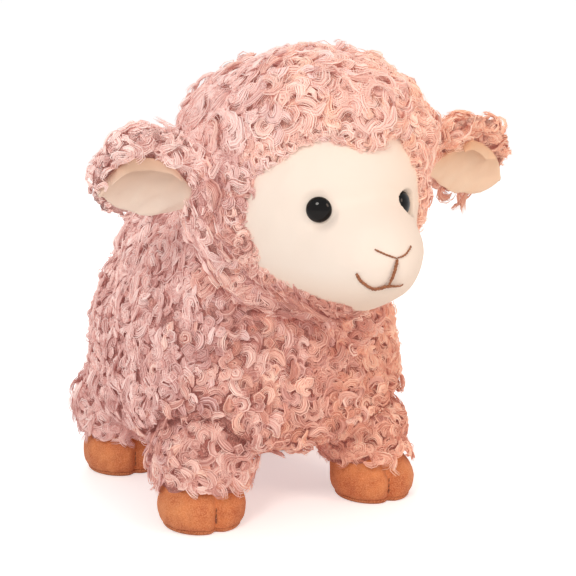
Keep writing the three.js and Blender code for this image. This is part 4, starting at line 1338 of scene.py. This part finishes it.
def ear_tuft(name, side, seed, material):
    """Loose locks that hang below an ear."""
    rng = np.random.default_rng(seed)
    t = np.linspace(0, len(TUFT_MM[0]) - 1, STEPS)
    bent = np.array([[smooth_curve(np.array(lock)[:, i], t) for i in range(2)] for lock in TUFT_MM]) * MM
    paths = ear_point(side, bent[:, 0], bent[:, 1], TUFT_BACK)
    up = np.broadcast_to(np.array([0, -0.9, 0.4]), paths.shape)
    # The tuft takes the warmest hue, the painted warm light on this side, and a low tone.
    kind = np.full(len(paths), (HUE_BINS - 1) * TONE_BINS + 1)
    vertices, faces, maps = locks(paths, up, kind, TUFT_STYLE, rng)
    made = mesh_object(f"ear_{name}_tuft", vertices, faces, material, maps)
    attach(made, f"ear_{name}")


# Stage


def camera():
    """The camera that the photo was taken with, as it was fitted."""
    data = bpy.data.cameras.new("camera")
    data.lens = CAMERA_LENS
    data.sensor_width = CAMERA_SENSOR
    azimuth, elevation = math.radians(CAMERA_AZIMUTH), math.radians(CAMERA_ELEVATION)
    toward = Vector((
        math.sin(azimuth) * math.cos(elevation),
        -math.cos(azimuth) * math.cos(elevation),
        math.sin(elevation),
    ))
    made = new_object("camera", data)
    made.location = Vector(CAMERA_TARGET) + toward * CAMERA_DISTANCE
    made.rotation_euler = toward.to_track_quat("Z", "Y").to_euler()
    bpy.context.scene.camera = made


def lamp(name, place, size, power, colour):
    """A round soft lamp that shines on the part."""
    data = bpy.data.lights.new(name, "AREA")
    data.shape = "DISK"
    data.size = size
    data.energy = power
    data.color = linear(colour)[:3]
    made = new_object(name, data)
    made.location = place
    made.rotation_euler = (Vector(place) - Vector(CAMERA_TARGET)).to_track_quat("Z", "Y").to_euler()


def background_rays(tree):
    """1 for the rays that show the background: to the camera, by a gloss or through a clear piece."""
    path = tree.nodes.new("ShaderNodeLightPath")
    seen = path.outputs["Is Camera Ray"]
    for name in ("Is Glossy Ray", "Is Transmission Ray"):
        most = tree.nodes.new("ShaderNodeMath")
        most.operation = "MAXIMUM"
        tree.links.new(seen, most.inputs[0])
        tree.links.new(path.outputs[name], most.inputs[1])
        seen = most.outputs[0]
    return seen


def stage():
    """A pale floor and world that show as white, and the lamps."""
    n = Nodes("floor", {"Roughness": 0.9, "Base Color": "#f4f3f2", "Emission Color": "#ffffff"})
    glow = n.math("MULTIPLY", background_rays(n.tree), FLOOR_GLOW)
    n.feed(n.shader, "Emission Strength", glow)
    corners = FLOOR_REACH * np.array([(-1, -1, 0), (1, -1, 0), (1, 1, 0), (-1, 1, 0)])
    floor = mesh_object("floor", corners, [np.array([[0, 1, 2, 3]])], n.material)
    world = bpy.data.worlds.new("studio")
    bpy.context.scene.world = world
    world.use_nodes = True
    tree = world.node_tree
    seen = tree.nodes.new("ShaderNodeMix")
    seen.data_type = "FLOAT"
    seen.inputs[2].default_value = WORLD_LIGHT
    seen.inputs[3].default_value = 1.0
    tree.links.new(background_rays(tree), seen.inputs[0])
    background = tree.nodes["Background"]
    background.inputs["Color"].default_value = (1, 1, 1, 1)
    tree.links.new(seen.outputs[0], background.inputs["Strength"])
    for name, values in LAMPS.items():
        lamp(name, *values)


def main():
    bpy.context.scene.view_settings.view_transform = "Standard"
    camera()
    stage()
    materials = {
        "backing": backing_material(),
        "filling": filling_material("filling", "#f0ece4"),
        "washer": filling_material("washer_plastic", "#e2e2de"),
        "wool": wool_material(),
    }
    cores = build_cores(materials)
    face_piece(face_material())
    eye_pieces(eye_material(), materials["washer"])
    thread = thread_material()
    stitches(thread)
    inside = lining_material()
    for name, side in SIDES.items():
        lining_piece(name, side, inside)
        fold_piece(name, side, inside)
    upper = hoof_material("hoof_plush", "#e48c54", "#b4522a")
    lower = hoof_material("sole_plush", "#b9683f", "#a5532d")
    for end, side in LEGS:
        hoof_pieces(end, side, upper, lower, thread)
    build_wool(cores, materials["wool"])


main()
